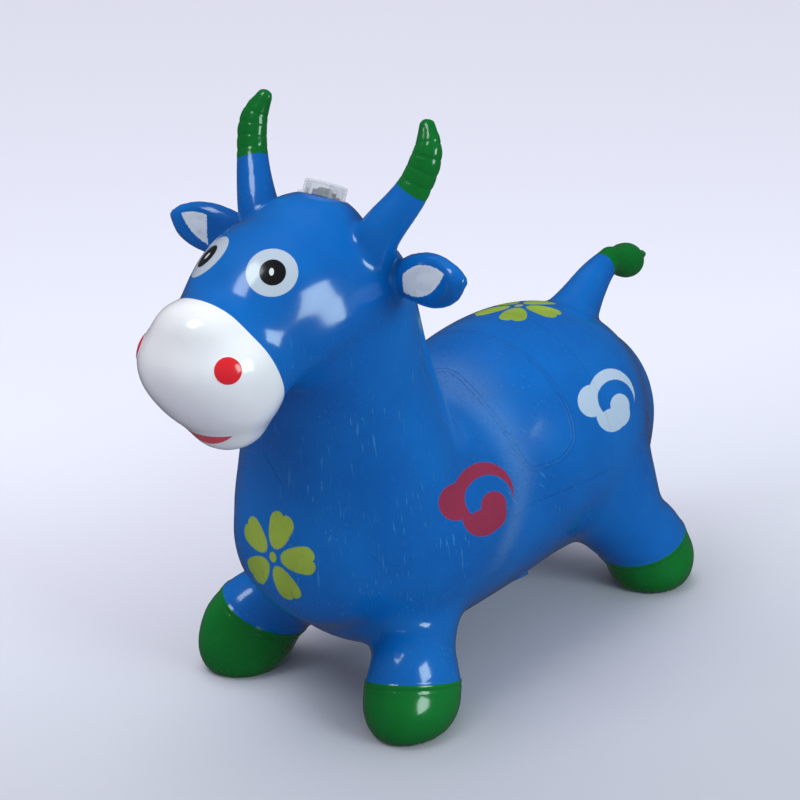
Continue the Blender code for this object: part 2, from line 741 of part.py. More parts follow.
def lamps(size, carrier):
    """Three round-topped lamps on the board, between the posts."""
    colours = {"led_red": (0.6, 0.02, 0.02), "led_green": (0.02, 0.45, 0.05), "led_blue": (0.02, 0.06, 0.6)}
    bottom = BOARD_TOP + FIT
    rim = LED_RADIUS + LED_RIM
    orbit = size["base_inner"] - rim - LED_INSET
    dome = bottom + LED_BARREL
    profile = [(0, bottom), (rim, bottom), (rim, bottom + LED_RIM_HEIGHT), (LED_RADIUS, bottom + LED_RIM_HEIGHT)]
    for step in range(4):
        angle = math.pi / 2 * step / 4
        profile.append((LED_RADIUS * math.cos(angle), dome + LED_RADIUS * math.sin(angle)))
    profile.append((0, dome + LED_RADIUS))
    for index, (name, colour) in enumerate(colours.items()):
        angle = math.pi / 6 + 2 * math.pi * index / len(colours)
        bm = turned(profile, SMALL_SEGMENTS)
        bmesh.ops.translate(bm, vec=(orbit * math.cos(angle), orbit * math.sin(angle), 0), verts=bm.verts)
        new_object(name, bm, finish(f"{name}_lens", colour, 0.15, transmission=0.5), carrier)


def under_board(size, carrier):
    """Sound chip and bounce switch under the board, with the buzzer disc and its two wires below them."""
    hang = size["board_bottom"] - FIT
    black = finish("black_resin", (0.01, 0.01, 0.012), 0.35)
    profile = [(0, hang - CHIP_HEIGHT)]
    for step in range(1, 5):
        angle = math.pi / 2 * (1 - step / 4)
        profile.append((CHIP_RADIUS * math.cos(angle), hang - CHIP_HEIGHT * math.sin(angle)))
    profile.append((0, hang))
    chip = turned(profile, SMALL_SEGMENTS)
    bmesh.ops.translate(chip, vec=(CHIP_X, 0, 0), verts=chip.verts)
    new_object("sound_chip", chip, black, carrier)

    can = rod(SWITCH_RADIUS, -SWITCH_LENGTH / 2, SWITCH_LENGTH / 2)
    bmesh.ops.rotate(can, matrix=Matrix.Rotation(math.pi / 2, 3, "Y"), verts=can.verts)
    bmesh.ops.translate(can, vec=(SWITCH_X, SWITCH_Y, hang - SWITCH_RADIUS), verts=can.verts)
    nickel = finish("switch_can", (0.60, 0.58, 0.52), 0.3, metallic=1.0)
    new_object("bounce_switch", can, nickel, carrier)

    brass = finish("buzzer_brass", (0.72, 0.52, 0.20), 0.3, metallic=1.0)
    disc = rod(PIEZO_RADIUS, size["piezo_bottom"], size["piezo_top"], segments=TURN_SEGMENTS)
    new_object("buzzer_disc", disc, brass, carrier)

    colours = {"buzzer_wire_red": (0.5, 0.02, 0.02), "buzzer_wire_black": (0.01, 0.01, 0.01)}
    for index, (name, colour) in enumerate(colours.items()):
        y = WIRE_Y - index * WIRE_SPACING
        low = size["piezo_top"] + FIT + WIRE_RADIUS
        high = hang - WIRE_RADIUS
        stations = []
        for share, bow in ((0, 0), (0.5, WIRE_BOW), (1, 0)):
            stations.append((WIRE_X + bow, y, low + (high - low) * share, WIRE_RADIUS, WIRE_RADIUS))
        wire = loft(stations, ring_count=7, sides=8)
        new_object(name, wire, finish(f"{name}_cover", colour, 0.5), carrier)


def light_module(size, seat):
    carrier = frame_at("module_frame", seat)
    module_cover(size, carrier)
    module_base(size, carrier)
    module_screws(size, carrier)
    circuit_board(size, carrier)
    battery_holder(size, carrier)
    button_cells(size, carrier)
    lamps(size, carrier)
    under_board(size, carrier)


def main():
    clear_scene()
    size = module_sizes()
    _, seat, valve = body_skin(size)
    air_plug(valve)
    light_module(size, seat)


main()
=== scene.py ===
import json
import math

import bmesh
import bpy
import numpy as np
from mathutils import Matrix, Vector

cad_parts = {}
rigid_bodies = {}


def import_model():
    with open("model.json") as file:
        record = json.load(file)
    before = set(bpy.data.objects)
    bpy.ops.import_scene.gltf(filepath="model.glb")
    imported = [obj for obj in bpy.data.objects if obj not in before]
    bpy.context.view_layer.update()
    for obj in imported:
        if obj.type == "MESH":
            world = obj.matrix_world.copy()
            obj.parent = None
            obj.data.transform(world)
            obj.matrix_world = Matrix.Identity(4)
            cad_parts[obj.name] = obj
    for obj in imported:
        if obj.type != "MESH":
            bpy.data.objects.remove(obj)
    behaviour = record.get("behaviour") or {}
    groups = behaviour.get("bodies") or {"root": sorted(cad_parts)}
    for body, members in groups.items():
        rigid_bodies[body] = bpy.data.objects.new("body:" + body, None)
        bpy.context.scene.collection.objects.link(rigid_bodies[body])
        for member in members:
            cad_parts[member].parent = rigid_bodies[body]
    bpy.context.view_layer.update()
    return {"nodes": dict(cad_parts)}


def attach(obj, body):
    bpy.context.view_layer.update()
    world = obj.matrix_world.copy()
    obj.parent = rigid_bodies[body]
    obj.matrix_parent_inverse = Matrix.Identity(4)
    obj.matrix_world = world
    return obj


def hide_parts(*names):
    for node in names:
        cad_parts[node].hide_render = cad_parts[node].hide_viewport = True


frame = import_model()

# The forms of the cow, as rows of x, y, z, half width and half depth, in metres.
MIDDLE_Y = 0.0138
TORSO = (
    (0, -0.154, 0.152, 0.086, 0.076),
    (0, -0.122, 0.150, 0.113, 0.103),
    (0, -0.075, 0.148, 0.120, 0.111),
    (0, 0.020, 0.139, 0.114, 0.101),
    (0, 0.110, 0.162, 0.119, 0.121),
    (0, 0.195, 0.164, 0.113, 0.117),
    (0, 0.246, 0.155, 0.086, 0.091),
)
NECK = (
    (0, -0.103, 0.170, 0.112, 0.100),
    (0, -0.110, 0.240, 0.099, 0.088),
    (0, -0.127, 0.300, 0.088, 0.080),
    (0, -0.146, 0.360, 0.085, 0.082),
    (0, -0.154, 0.395, 0.082, 0.078),
    (0, -0.157, 0.418, 0.072, 0.064),
    (0, -0.158, 0.434, 0.052, 0.046),
)
FACE = (
    (0, -0.150, 0.396, 0.077, 0.058),
    (0, -0.200, 0.387, 0.074, 0.064),
    (0, -0.250, 0.3645, 0.060, 0.051),
    (0, -0.280, 0.357, 0.048, 0.043),
)
FACE_SQUARENESS = 2.05
MUZZLE = (
    (0, -0.292, 0.385, 0.042, 0.032),
    (0, -0.287, 0.366, 0.060, 0.052),
    (0, -0.274, 0.340, 0.062, 0.051),
    (0, -0.263, 0.313, 0.052, 0.042),
    (0, -0.259, 0.295, 0.036, 0.032),
)
FRONT_LEG = (
    (0.058, -0.093, 0.095, 0.050, 0.050),
    (0.0765, -0.1125, 0.061, 0.037, 0.040),
    (0.094, -0.133, 0.042, 0.0395, 0.047),
    (0.096, -0.139, 0.022, 0.041, 0.050),
    (0.0955, -0.140, 0.010, 0.0395, 0.048),
    (0.095, -0.140, 0.000, 0.033, 0.042),
    (0.0945, -0.140, -0.012, 0.022, 0.030),
)
REAR_LEG = (
    (0.062, 0.185, 0.120, 0.060, 0.066),
    (0.084, 0.209, 0.070, 0.042, 0.043),
    (0.094, 0.232, 0.045, 0.040, 0.045),
    (0.096, 0.242, 0.022, 0.041, 0.050),
    (0.0955, 0.243, 0.010, 0.0395, 0.047),
    (0.095, 0.243, 0.000, 0.033, 0.040),
    (0.0945, 0.243, -0.012, 0.022, 0.028),
)
HORN = (
    (0.055, -0.150, 0.420, 0.0200, 0.0220),
    (0.067, -0.145, 0.442, 0.0170, 0.0185),
    (0.0875, -0.128, 0.478, 0.0125, 0.0145),
    (0.0940, -0.118, 0.507, 0.0105, 0.0130),
    (0.0870, -0.110, 0.528, 0.0060, 0.0070),
)
EAR = (
    (0.075, -0.130, 0.4015, 0.0135, 0.0115),
    (0.096, -0.138, 0.4065, 0.0200, 0.0125),
    (0.121, -0.146, 0.4115, 0.0230, 0.0125),
    (0.140, -0.151, 0.4155, 0.0190, 0.0105),
    (0.151, -0.153, 0.4185, 0.0120, 0.0085),
    (0.157, -0.1535, 0.4195, 0.0060, 0.0050),
)
TAIL = (
    (0, 0.214, 0.240, 0.036, 0.038),
    (0, 0.246, 0.269, 0.023, 0.023),
    (0, 0.274, 0.290, 0.0165, 0.0165),
    (0, 0.300, 0.302, 0.0120, 0.0120),
)
TUFT = (
    (0, 0.297, 0.3035, 0.0115, 0.0115),
    (0, 0.309, 0.299, 0.0130, 0.0130),
    (0, 0.322, 0.295, 0.0172, 0.0172),
    (0, 0.335, 0.292, 0.0172, 0.0172),
    (0, 0.346, 0.291, 0.0110, 0.0110),
    (0, 0.352, 0.2915, 0.0060, 0.0060),
    (0, 0.360, 0.2930, 0.0045, 0.0045),
)
ACROSS = Vector((1, 0, 0))
ALONG = Vector((0, 1, 0))
UPWARD = Vector((0, 0, 1))
# Folds that are eased on both flanks, before and after the small forms are joined on.
# Each has y, z, reach along y, reach along z, start from the middle and rounds of smoothing.
FOLDS = (
    (-0.012, 0.190, 0.070, 0.080, 0.030, 150),
    (-0.205, 0.318, 0.055, 0.048, 0.020, 100),
)
FINE_FOLDS = (
    (-0.045, 0.245, 0.065, 0.075, 0.024, 200),
    (-0.198, 0.322, 0.060, 0.040, 0.020, 200),
    (0.215, 0.130, 0.060, 0.055, 0.030, 160),
)
# Rings along a form, points round a ring, and rings and length of a form's round end.
RINGS = 26
SIDES = 40
CAP_RINGS = 6
CAP_BULGE = 0.7
# Grain and rounds of smoothing where the large forms are joined, and where the small ones are.
LARGE_GRAIN = 0.004
LARGE_ROUNDING = 45
SMALL_GRAIN = 0.003
SMALL_ROUNDING = 4
BROAD_ROUNDING = 14
CUTTER_SIDES = 96

# Half of the saddle's moulded line on the left side, from the rear crossing of the back to the front one.
SADDLE_LINE = (
    (0.0, 0.0715, 0.2785),
    (0.0208, 0.0715, 0.2767),
    (0.0439, 0.0735, 0.2707),
    (0.0658, 0.0748, 0.2590),
    (0.0822, 0.0746, 0.2444),
    (0.0965, 0.0741, 0.2273),
    (0.1038, 0.0721, 0.2140),
    (0.1084, 0.0676, 0.2018),
    (0.1095, 0.0584, 0.1941),
    (0.1084, 0.0442, 0.1885),
    (0.1043, 0.0249, 0.1877),
    (0.1014, 0.0135, 0.1887),
    (0.0946, 0.0073, 0.1976),
    (0.0798, 0.0073, 0.2142),
    (0.0565, 0.0111, 0.2335),
    (0.0296, 0.0166, 0.2489),
    (0.0, 0.0223, 0.2568),
)

# The head's module pocket and the belly's valve, at the places of the solids.
MODULE_PLACE = Vector((0, -0.15202, 0.457537))
MODULE_AXIS = Vector((0, 0.4067366, 0.9135455))
VALVE_PLACE = Vector((0.054965, 0.0542, 0.054797))
VALVE_AXIS = Vector((0.5, 0, -0.8660254))
# Round cuts for the cap's flange, the cup and the valve: radius, start and end along the axis, place, axis.
SKIN_CUTS = (
    (0.02267, -0.0003, 0.030, MODULE_PLACE, MODULE_AXIS),
    (0.01777, -0.0148, 0.010, MODULE_PLACE, MODULE_AXIS),
    (0.0090, -0.020, 0.010, VALVE_PLACE, VALVE_AXIS),
)
BOSS_RADIUS = 0.013
BOSS_HEIGHT = 0.0124
BOSS_SINK = 0.0018
COLLAR_BORE = 0.0097
COLLAR_HEIGHT = 0.0024
PLUG_BORE = 0.0053
PLUG_DEPTH = 0.009
BOSS_EDGE = 0.0007

# A horn's creases, from its tip, the sizes of its relief, and the height where it leaves the head.
HORN_CREASES = (0.017, 0.0275, 0.0385, 0.050)
HORN_CREASE_DEPTH = 0.00042
HORN_KNOB_PITCH = 0.0107
HORN_KNOB_HEIGHT = 0.00032
HORN_FRONT_CREASE = 0.0006
HORN_FOOT = 0.452
# Fuller cheeks, jowls and thighs, at their y and z.
CHEEK_PLACE = (-0.224, 0.366)
CHEEK_SLOPE = 0.54
CHEEK_FULLNESS = 0.0095
JOWL_PLACE = (-0.203, 0.328)
JOWL_FULLNESS = 0.0065
THIGH_PLACE = (0.222, 0.118)
THIGH_FULLNESS = (0.0042, 0.0034)
# The scoop in an ear, at its x and z.
EAR_SCOOP_PLACE = (0.121, 0.412)
EAR_SCOOP_DEPTH = 0.0028
NOSTRIL_DOME_RADIUS = 0.0114
NOSTRIL_DOME_HEIGHT = 0.0011
# Paint lines of the hooves: shares of x and y, and the offset, that make the height above the line.
LEFT_HOOF = (-0.219, 0.293, 0.0241)
RIGHT_HOOF = (0.55, 0.27, 0.03225)
REAR_HOOF = (0.0, -0.31, 0.0208)
# Hooves behind this y are rear hooves.
REAR_START = 0.04
HOOF_RIM = 0.0009
HOOF_GROOVE = 0.0010
REAR_TOE_FULLNESS = 0.006
LEFT_TOE_FULLNESS = 0.008
RIGHT_TOE_FULLNESS = 0.003
# Where the toes of the left hooves point, along x and y.
REAR_TOE_HEADING = (0.95, -0.31)
FRONT_TOE_HEADING = (0.62, -0.78)

# Paint places, and the two directions along which eyes and swirls are drawn.
VIEW_RIGHT = (0.7804, 0.6252, 0.0)
VIEW_UP = (-0.219, 0.2733, 0.9367)
EYE_PLACE = (0.0346, -0.2551, 0.4244)
NOSTRIL_PLACE = (0.0482, -0.323, 0.3637)
RED_SWIRL_PLACE = (0.1115, -0.0826, 0.192)
WHITE_SWIRL_PLACE = (0.1044, 0.1283, 0.2211)
RED_SWIRL_UNIT = (0.000865, 0.000865)
WHITE_SWIRL_UNIT = (0.000753, 0.000804)
NOSTRIL_RADIUS = 0.0109
EYE_RADIUS = 0.0196
EYE_STRETCH = 1.06
PUPIL_RADIUS = 0.0106
GLINT_RADIUS = 0.0031
GLINT_STRETCH = 0.62
# Middles of the chest's flower in x and z and the rump's in x and y, with the units to a metre along both.
CHEST_FLOWER = (-0.0033, 0.154, 920, 970)
RUMP_FLOWER = (-0.011, 0.146, 950, 890)
# The saddle's moulded double line: half its spacing, and the width and height of each ridge.
RIDGE_OFFSET = 0.0019
RIDGE_WIDTH = 0.0009
RIDGE_HEIGHT = 0.0006

# The camera's place, its turns in degrees, and its lens in millimetres.
CAMERA_PLACE = (1.156, -1.4928, 0.940)
CAMERA_TILT = 69.5
CAMERA_TURN = 38.7
CAMERA_LENS = 99.1

FLOOR_WIDTH = 24.0
BACKDROP_RADIUS = 11.0
BACKDROP_HEIGHT = 12.0
BACKDROP_MIDDLE = 5.9


def choose(*pieces):
    """Selects these pieces and nothing else; the first is the active one."""
    bpy.ops.object.select_all(action="DESELECT")
    for piece in pieces:
        piece.select_set(True)
    bpy.context.view_layer.objects.active = pieces[0]


def apply_modifier(piece, kind, **settings):
    """Adds one modifier and applies it."""
    choose(piece)
    modifier = piece.modifiers.new(kind.title(), kind)
    for name, value in settings.items():
        setattr(modifier, name, value)
    bpy.ops.object.modifier_apply(modifier=modifier.name)


def between_rows(rows, count):
    """Rows on a smooth curve through the given rows, evenly spread."""
    keys = np.array(rows, dtype=float)
    spans = np.sqrt(np.linalg.norm(np.diff(keys[:, :3], axis=0), axis=1))
    reach = np.concatenate(([0.0], np.cumsum(spans)))
    slope = np.gradient(keys, reach, axis=0)
    places = np.linspace(0.0, reach[-1], count)
    index = np.clip(np.searchsorted(reach, places, side="right") - 1, 0, len(keys) - 2)
    span = (reach[index + 1] - reach[index])[:, None]
    t = (places - reach[index])[:, None] / span
    start = (1 + 2 * t) * (1 - t) ** 2 * keys[index] + t * (1 - t) ** 2 * span * slope[index]
    end = t**2 * (3 - 2 * t) * keys[index + 1] - t**2 * (1 - t) * span * slope[index + 1]
    return start + end


def ring_places(rows):
    """Centre, heading, half width and half depth of each ring, with round ends."""
    spread = between_rows(rows, RINGS)
    heading = np.gradient(spread[:, :3], axis=0)
    rings = []
    for row, direction in zip(spread, heading):
        rings.append((Vector(row[:3]), Vector(direction).normalized(), row[3], row[4]))
    ends = []
    for ring, outward in ((rings[0], -1), (rings[-1], 1)):
        centre, direction, wide, deep = ring
        bulge = direction * outward * CAP_BULGE * min(wide, deep)
        cap = []
        for step in range(1, CAP_RINGS + 1):
            angle = math.pi / 2 * step / (CAP_RINGS + 0.3)
            shrink = math.cos(angle)
            cap.append((centre + bulge * math.sin(angle), direction, wide * shrink, deep * shrink))
        ends.append(cap)
    return ends[0][::-1] + rings + ends[1]


def squared(value, squareness):
    """A circle's coordinate, moved towards the corners of a square."""
    return math.copysign(abs(value) ** (2 / squareness), value)


def form(name, rows, side=ACROSS, right=False, squareness=2.0):
    """One form of the cow: circles set along its middle line, bridged and closed."""
    bpy.ops.object.select_all(action="DESELECT")
    for number, (centre, direction, wide, deep) in enumerate(ring_places(rows)):
        across = (side - direction * side.dot(direction)).normalized()
        other = direction.cross(across)
        turn = Matrix((across, other, direction)).transposed()
        place = centre - Vector((0, MIDDLE_Y, 0))
        circle = {"vertices": SIDES, "radius": 1.0, "fill_type": "NOTHING", "calc_uvs": False}
        bpy.ops.mesh.primitive_circle_add(location=place, rotation=turn.to_euler(), **circle)
        if number == 0:
            piece = bpy.context.object
            piece.name = name
            bpy.ops.object.transform_apply(location=True, rotation=True, scale=True)
            bpy.ops.object.mode_set(mode="EDIT")
        bm = bmesh.from_edit_mesh(piece.data)
        bm.verts.ensure_lookup_table()
        for vertex in bm.verts[-SIDES:]:
            out = vertex.co - place
            wider = squared(out.dot(across), squareness) * wide
            deeper = squared(out.dot(other), squareness) * deep
            vertex.co = place + across * wider + other * deeper
        if number:
            for vertex in bm.verts[-2 * SIDES:]:
                vertex.select = True
            bm.select_flush(True)
            bmesh.update_edit_mesh(piece.data)
            bpy.ops.mesh.bridge_edge_loops()
            bpy.ops.mesh.select_all(action="DESELECT")
    bpy.ops.mesh.select_all(action="SELECT")
    bpy.ops.mesh.fill_holes(sides=0)
    if right:
        bpy.ops.transform.resize(value=(-1, 1, 1), center_override=(0, 0, 0))
    bpy.ops.mesh.normals_make_consistent(inside=False)
    bpy.ops.object.mode_set(mode="OBJECT")
    return piece


def both(name, rows, side=ACROSS):
    """A form on the left and its mirror on the right."""
    return [form(name, rows, side), form(name, rows, side, right=True)]


def fused(name, pieces, grain, rounding):
    """One closed surface round overlapping forms, with its creases rounded."""
    choose(*pieces)
    bpy.ops.object.join()
    whole = bpy.context.object
    whole.name = name
    apply_modifier(whole, "REMESH", mode="VOXEL", voxel_size=grain)
    apply_modifier(whole, "SMOOTH", factor=0.5, iterations=rounding)
    return whole


def ease_folds(piece, folds):
    """Eases the folds at the neck, the jaw and the thighs."""
    for middle_y, middle_z, length, height, inside, rounds in folds:
        places = points_of(piece)
        ahead = (places[:, 1] - middle_y) / length
        upright = (places[:, 2] - middle_z) / height
        outward = np.clip(np.abs(places[:, 0]) / inside - 1, 0, 1)
        smooth_where(piece, outward * np.clip(1 - ahead**2 - upright**2, 0, 1), rounds)


def smooth_where(piece, weights, rounds):
    """Smooths a piece by the weight of each point."""
    group = piece.vertex_groups.new(name="smoothed")
    levels = np.round(weights * 20).astype(int)
    for level in range(1, 21):
        group.add(np.where(levels == level)[0].tolist(), level / 20, "REPLACE")
    apply_modifier(piece, "SMOOTH", factor=0.5, iterations=rounds, vertex_group="smoothed")
    piece.vertex_groups.clear()


def points_of(piece):
    """The places of a piece's points, one row each."""
    places = np.empty(len(piece.data.vertices) * 3)
    piece.data.vertices.foreach_get("co", places)
    return places.reshape(-1, 3)


def normals_of(piece):
    """The outward directions of a piece's points, one row each."""
    directions = np.empty(len(piece.data.vertices) * 3)
    piece.data.vertex_normals.foreach_get("vector", directions)
    return directions.reshape(-1, 3)


def set_points(piece, places):
    """Moves a piece's points to these places."""
    piece.data.vertices.foreach_set("co", np.ascontiguousarray(places, dtype=np.float32).ravel())
    piece.data.update()


def closer_faces(piece, wanted):
    """Subdivides the faces whose corners are all wanted, for finer relief there."""
    loops = np.empty(len(piece.data.loops), dtype=np.int32)
    piece.data.loops.foreach_get("vertex_index", loops)
    starts = np.empty(len(piece.data.polygons), dtype=np.int32)
    piece.data.polygons.foreach_get("loop_start", starts)
    chosen = np.minimum.reduceat(wanted[loops].astype(np.int8), starts).astype(bool)
    choose(piece)
    bpy.ops.object.mode_set(mode="EDIT")
    bpy.ops.mesh.select_all(action="DESELECT")
    bpy.ops.object.mode_set(mode="OBJECT")
    piece.data.polygons.foreach_set("select", chosen)
    bpy.ops.object.mode_set(mode="EDIT")
    bpy.ops.mesh.select_mode(type="FACE")
    bpy.ops.mesh.subdivide(number_cuts=1, smoothness=0.6)
    bpy.ops.object.mode_set(mode="OBJECT")


def folded_over(places):
    """The places with the right side mirrored onto the left."""
    return np.column_stack((np.abs(places[:, 0]), places[:, 1], places[:, 2]))


def near_path(places, rows):
    """How far along a form's middle line each place is, and how long that line is."""
    path = between_rows(rows, 160)[:, :3] - np.array((0, MIDDLE_Y, 0))
    lengths = np.concatenate(([0.0], np.cumsum(np.linalg.norm(np.diff(path, axis=0), axis=1))))
    gaps = np.linalg.norm(folded_over(places)[:, None, :] - path[None, :, :], axis=2)
    return lengths[gaps.argmin(axis=1)], lengths[-1]


def soft_step(values, low, high):
    """0 below low and 1 above high, with a smooth rise between them."""
    t = np.clip((values - low) / (high - low), 0, 1)
    return t * t * (3 - 2 * t)


def bell(values, middle, width):
    """1 at the middle, falling off smoothly on both sides."""
    return np.exp(-(((values - middle) / width) ** 2))


def above_line(x, y, z, line):
    """Height above a hoof's paint line, for the points of a mesh or of a finish."""
    share_x, share_y, offset = line
    return z + x * share_x + y * share_y + offset


def hoof_line(places):
    """Height above the paint line of the nearest hoof."""
    x, y, z = places.T
    left, right, rear = (above_line(x, y, z, line) for line in (LEFT_HOOF, RIGHT_HOOF, REAR_HOOF))
    return np.where(y > REAR_START, rear, np.where(x > 0, left, right))


def horn_relief(piece):
    """Shallow creases round the horns, one crease along their front, and knobs on their outer edge."""
    places = points_of(piece)
    closer_faces(piece, (places[:, 2] > HORN_FOOT) & (np.abs(places[:, 0]) > 0.058))
    places = points_of(piece)
    chosen = np.where((places[:, 2] > HORN_FOOT) & (np.abs(places[:, 0]) > 0.055))[0]
    facing = normals_of(piece)[chosen]
    reach, length = near_path(places[chosen], HORN)
    from_tip = length - reach
    outer = facing[:, 0] * np.sign(places[chosen, 0])
    push = np.zeros(len(chosen))
    for middle in HORN_CREASES:
        push -= HORN_CREASE_DEPTH * bell(from_tip, middle, 0.0011)
    knobs = 0.5 + 0.5 * np.cos((from_tip - 0.012) / HORN_KNOB_PITCH * 2 * np.pi)
    push += HORN_KNOB_HEIGHT * knobs * soft_step(outer, 0.3, 0.9)
    push *= 1 - soft_step(from_tip, 0.050, 0.060)
    crease = bell(outer, 0.05, 0.16) * soft_step(-facing[:, 1], 0.2, 0.6)
    crease *= (1 - soft_step(from_tip, 0.046, 0.058)) * soft_step(from_tip, 0.001, 0.007)
    push -= HORN_FRONT_CREASE * crease
    places[chosen] += facing * push[:, None]
    set_points(piece, places)


def cheek_relief(piece):
    """Full cheeks below the eyes, running back from the muzzle, and full jowls below them."""
    places = points_of(piece)
    ahead = places[:, 1] - CHEEK_PLACE[0]
    upright = places[:, 2] - CHEEK_PLACE[1] - CHEEK_SLOPE * ahead
    jowl_y, jowl_z = JOWL_PLACE
    fullness = CHEEK_FULLNESS * bell(ahead, 0, 0.045) * bell(upright, 0, 0.025)
    fullness += JOWL_FULLNESS * bell(places[:, 1], jowl_y, 0.034) * bell(places[:, 2], jowl_z, 0.028)
    fullness *= soft_step(np.abs(places[:, 0]), 0.022, 0.05)
    places[:, 0] += fullness * np.sign(places[:, 0])
    places[:, 1] -= 0.2 * fullness
    set_points(piece, places)


def thigh_relief(piece):
    """Fuller thighs where the rump runs into the rear legs."""
    places = points_of(piece)
    thigh_y, thigh_z = THIGH_PLACE
    fullness = bell(places[:, 1], thigh_y, 0.040) * bell(places[:, 2], thigh_z, 0.032)
    fullness *= soft_step(np.abs(places[:, 0]), 0.03, 0.075)
    places[:, 0] += THIGH_FULLNESS[0] * fullness * np.sign(places[:, 0])
    places[:, 1] += THIGH_FULLNESS[1] * fullness
    set_points(piece, places)


def ear_relief(piece):
    """A shallow scoop in the front of each ear."""
    places = points_of(piece)
    wide = np.abs(places[:, 0])
    level = (places[:, 2] > 0.37) & (places[:, 2] < 0.445)
    closer_faces(piece, (wide > 0.082) & level & (places[:, 1] < -0.11))
    places = points_of(piece)
    normals = normals_of(piece)
    wide = np.abs(places[:, 0])
    outward = wide - EAR_SCOOP_PLACE[0]
    upright = places[:, 2] - EAR_SCOOP_PLACE[1] - 0.3 * outward
    inside = 1 - soft_step(np.hypot(outward / 0.030, upright / 0.018), 0.35, 1.0)
    inside *= soft_step(-normals[:, 1], 0.2, 0.7) * (wide > 0.085) * (places[:, 2] > 0.36)
    places[:, 1] += EAR_SCOOP_DEPTH * inside
    set_points(piece, places)


def hoof_relief(piece):
    """A full toe on each hoof, and a small rim round it with a groove below."""
    places = points_of(piece)
    line = hoof_line(places)
    on_legs = (places[:, 2] < 0.075) & (np.abs(places[:, 0]) > 0.04)
    closer_faces(piece, (np.abs(line + 0.002) < 0.009) & on_legs)
    places = points_of(piece)
    normals = normals_of(piece)
    line = hoof_line(places)
    low = (places[:, 2] < 0.08) & (np.abs(places[:, 0]) > 0.035) & (places[:, 2] > 0.001)
    push = HOOF_RIM * (1 - soft_step(line, -0.001, 0.0012)) * soft_step(line, -0.012, -0.004)
    push -= HOOF_GROOVE * bell(line, -0.0052, 0.0012)
    places += normals * (push * low)[:, None]
    rear = places[:, 1] > REAR_START
    front_fullness = np.where(places[:, 0] > 0, LEFT_TOE_FULLNESS, RIGHT_TOE_FULLNESS)
    fullness = np.where(rear, REAR_TOE_FULLNESS, front_fullness)
    toe = fullness * soft_step(-line, 0.004, 0.030) * low
    sideways = np.where(rear, REAR_TOE_HEADING[0], FRONT_TOE_HEADING[0]) * np.sign(places[:, 0])
    ahead = np.where(rear, REAR_TOE_HEADING[1], FRONT_TOE_HEADING[1])
    toe *= np.clip(normals[:, 0] * sideways + normals[:, 1] * ahead, 0, 1)
    places[:, 0] += toe * sideways
    places[:, 1] += toe * ahead
    set_points(piece, places)


def muzzle_relief(piece):
    """Low domes for the nostrils."""
    gap = np.linalg.norm(folded_over(points_of(piece)) - np.array(NOSTRIL_PLACE), axis=1)
    closer_faces(piece, gap < 0.016)
    places = points_of(piece)
    normals = normals_of(piece)
    gap = np.linalg.norm(folded_over(places) - np.array(NOSTRIL_PLACE), axis=1)
    dome = np.sqrt(np.clip(1 - (gap / NOSTRIL_DOME_RADIUS) ** 2, 0, 1))
    places += normals * (NOSTRIL_DOME_HEIGHT * dome)[:, None]
    set_points(piece, places)


def saddle_attribute(piece):
    """Stores each point's signed distance from the saddle's line, for its moulded double line."""
    half = np.array(SADDLE_LINE)
    mirrored = half[1:-1][::-1] * np.array((-1, 1, 1))
    corners = np.vstack((half, mirrored))
    count = len(corners)
    loop = []
    for index in range(count):
        before, start, end, after = (corners[(index + step) % count] for step in (-1, 0, 1, 2))
        for t in np.linspace(0, 1, 12, endpoint=False):
            bent = 2 * start + (end - before) * t
            bent = bent + (2 * before - 5 * start + 4 * end - after) * t**2
            loop.append(0.5 * (bent + (3 * start - before - 3 * end + after) * t**3))
    loop = np.array(loop)
    ahead = np.roll(loop, -1, axis=0) - loop
    places = points_of(piece)
    normals = normals_of(piece)
    distance = np.full(len(places), 0.05)
    box = (places[:, 1] > -0.03) & (places[:, 1] < 0.12) & (places[:, 2] > 0.16) & (places[:, 2] < 0.31)
    chosen = np.where(box)[0]
    for part in np.array_split(chosen, max(1, len(chosen) // 3000)):
        offset = places[part][:, None, :] - loop[None, :, :]
        t = np.clip((offset * ahead[None]).sum(2) / (ahead**2).sum(1)[None], 0, 1)
        offset = offset - t[:, :, None] * ahead[None]
        gaps = np.linalg.norm(offset, axis=2)
        nearest = gaps.argmin(axis=1)
        rows = np.arange(len(part))
        flat = offset[rows, nearest]
        flat -= (flat * normals[part]).sum(1)[:, None] * normals[part]
        outward = np.cross(ahead[nearest], normals[part])
        side = np.sign((outward * flat).sum(1))
        distance[part] = np.linalg.norm(flat, axis=1) * side
    attribute = piece.data.attributes.new("saddle_line", "FLOAT", "POINT")
    attribute.data.foreach_set("value", distance.astype(np.float32))


def round_cutter(radius, bottom, top, place, axis):
    """A cylinder to cut with, standing along an axis."""
    bpy.ops.object.select_all(action="DESELECT")
    turn = UPWARD.rotation_difference(axis).to_euler()
    middle = place + axis * (bottom + top) / 2
    bpy.ops.mesh.primitive_cylinder_add(
        vertices=CUTTER_SIDES, radius=radius, depth=top - bottom, location=middle, rotation=turn
    )
    cutter = bpy.context.object
    bpy.ops.object.transform_apply(location=True, rotation=True, scale=True)
    return cutter


def cut_with(piece, cutter):
    """Cuts a piece and removes the cutter."""
    apply_modifier(piece, "BOOLEAN", operation="DIFFERENCE", solver="EXACT", object=cutter)
    bpy.data.objects.remove(cutter, do_unlink=True)


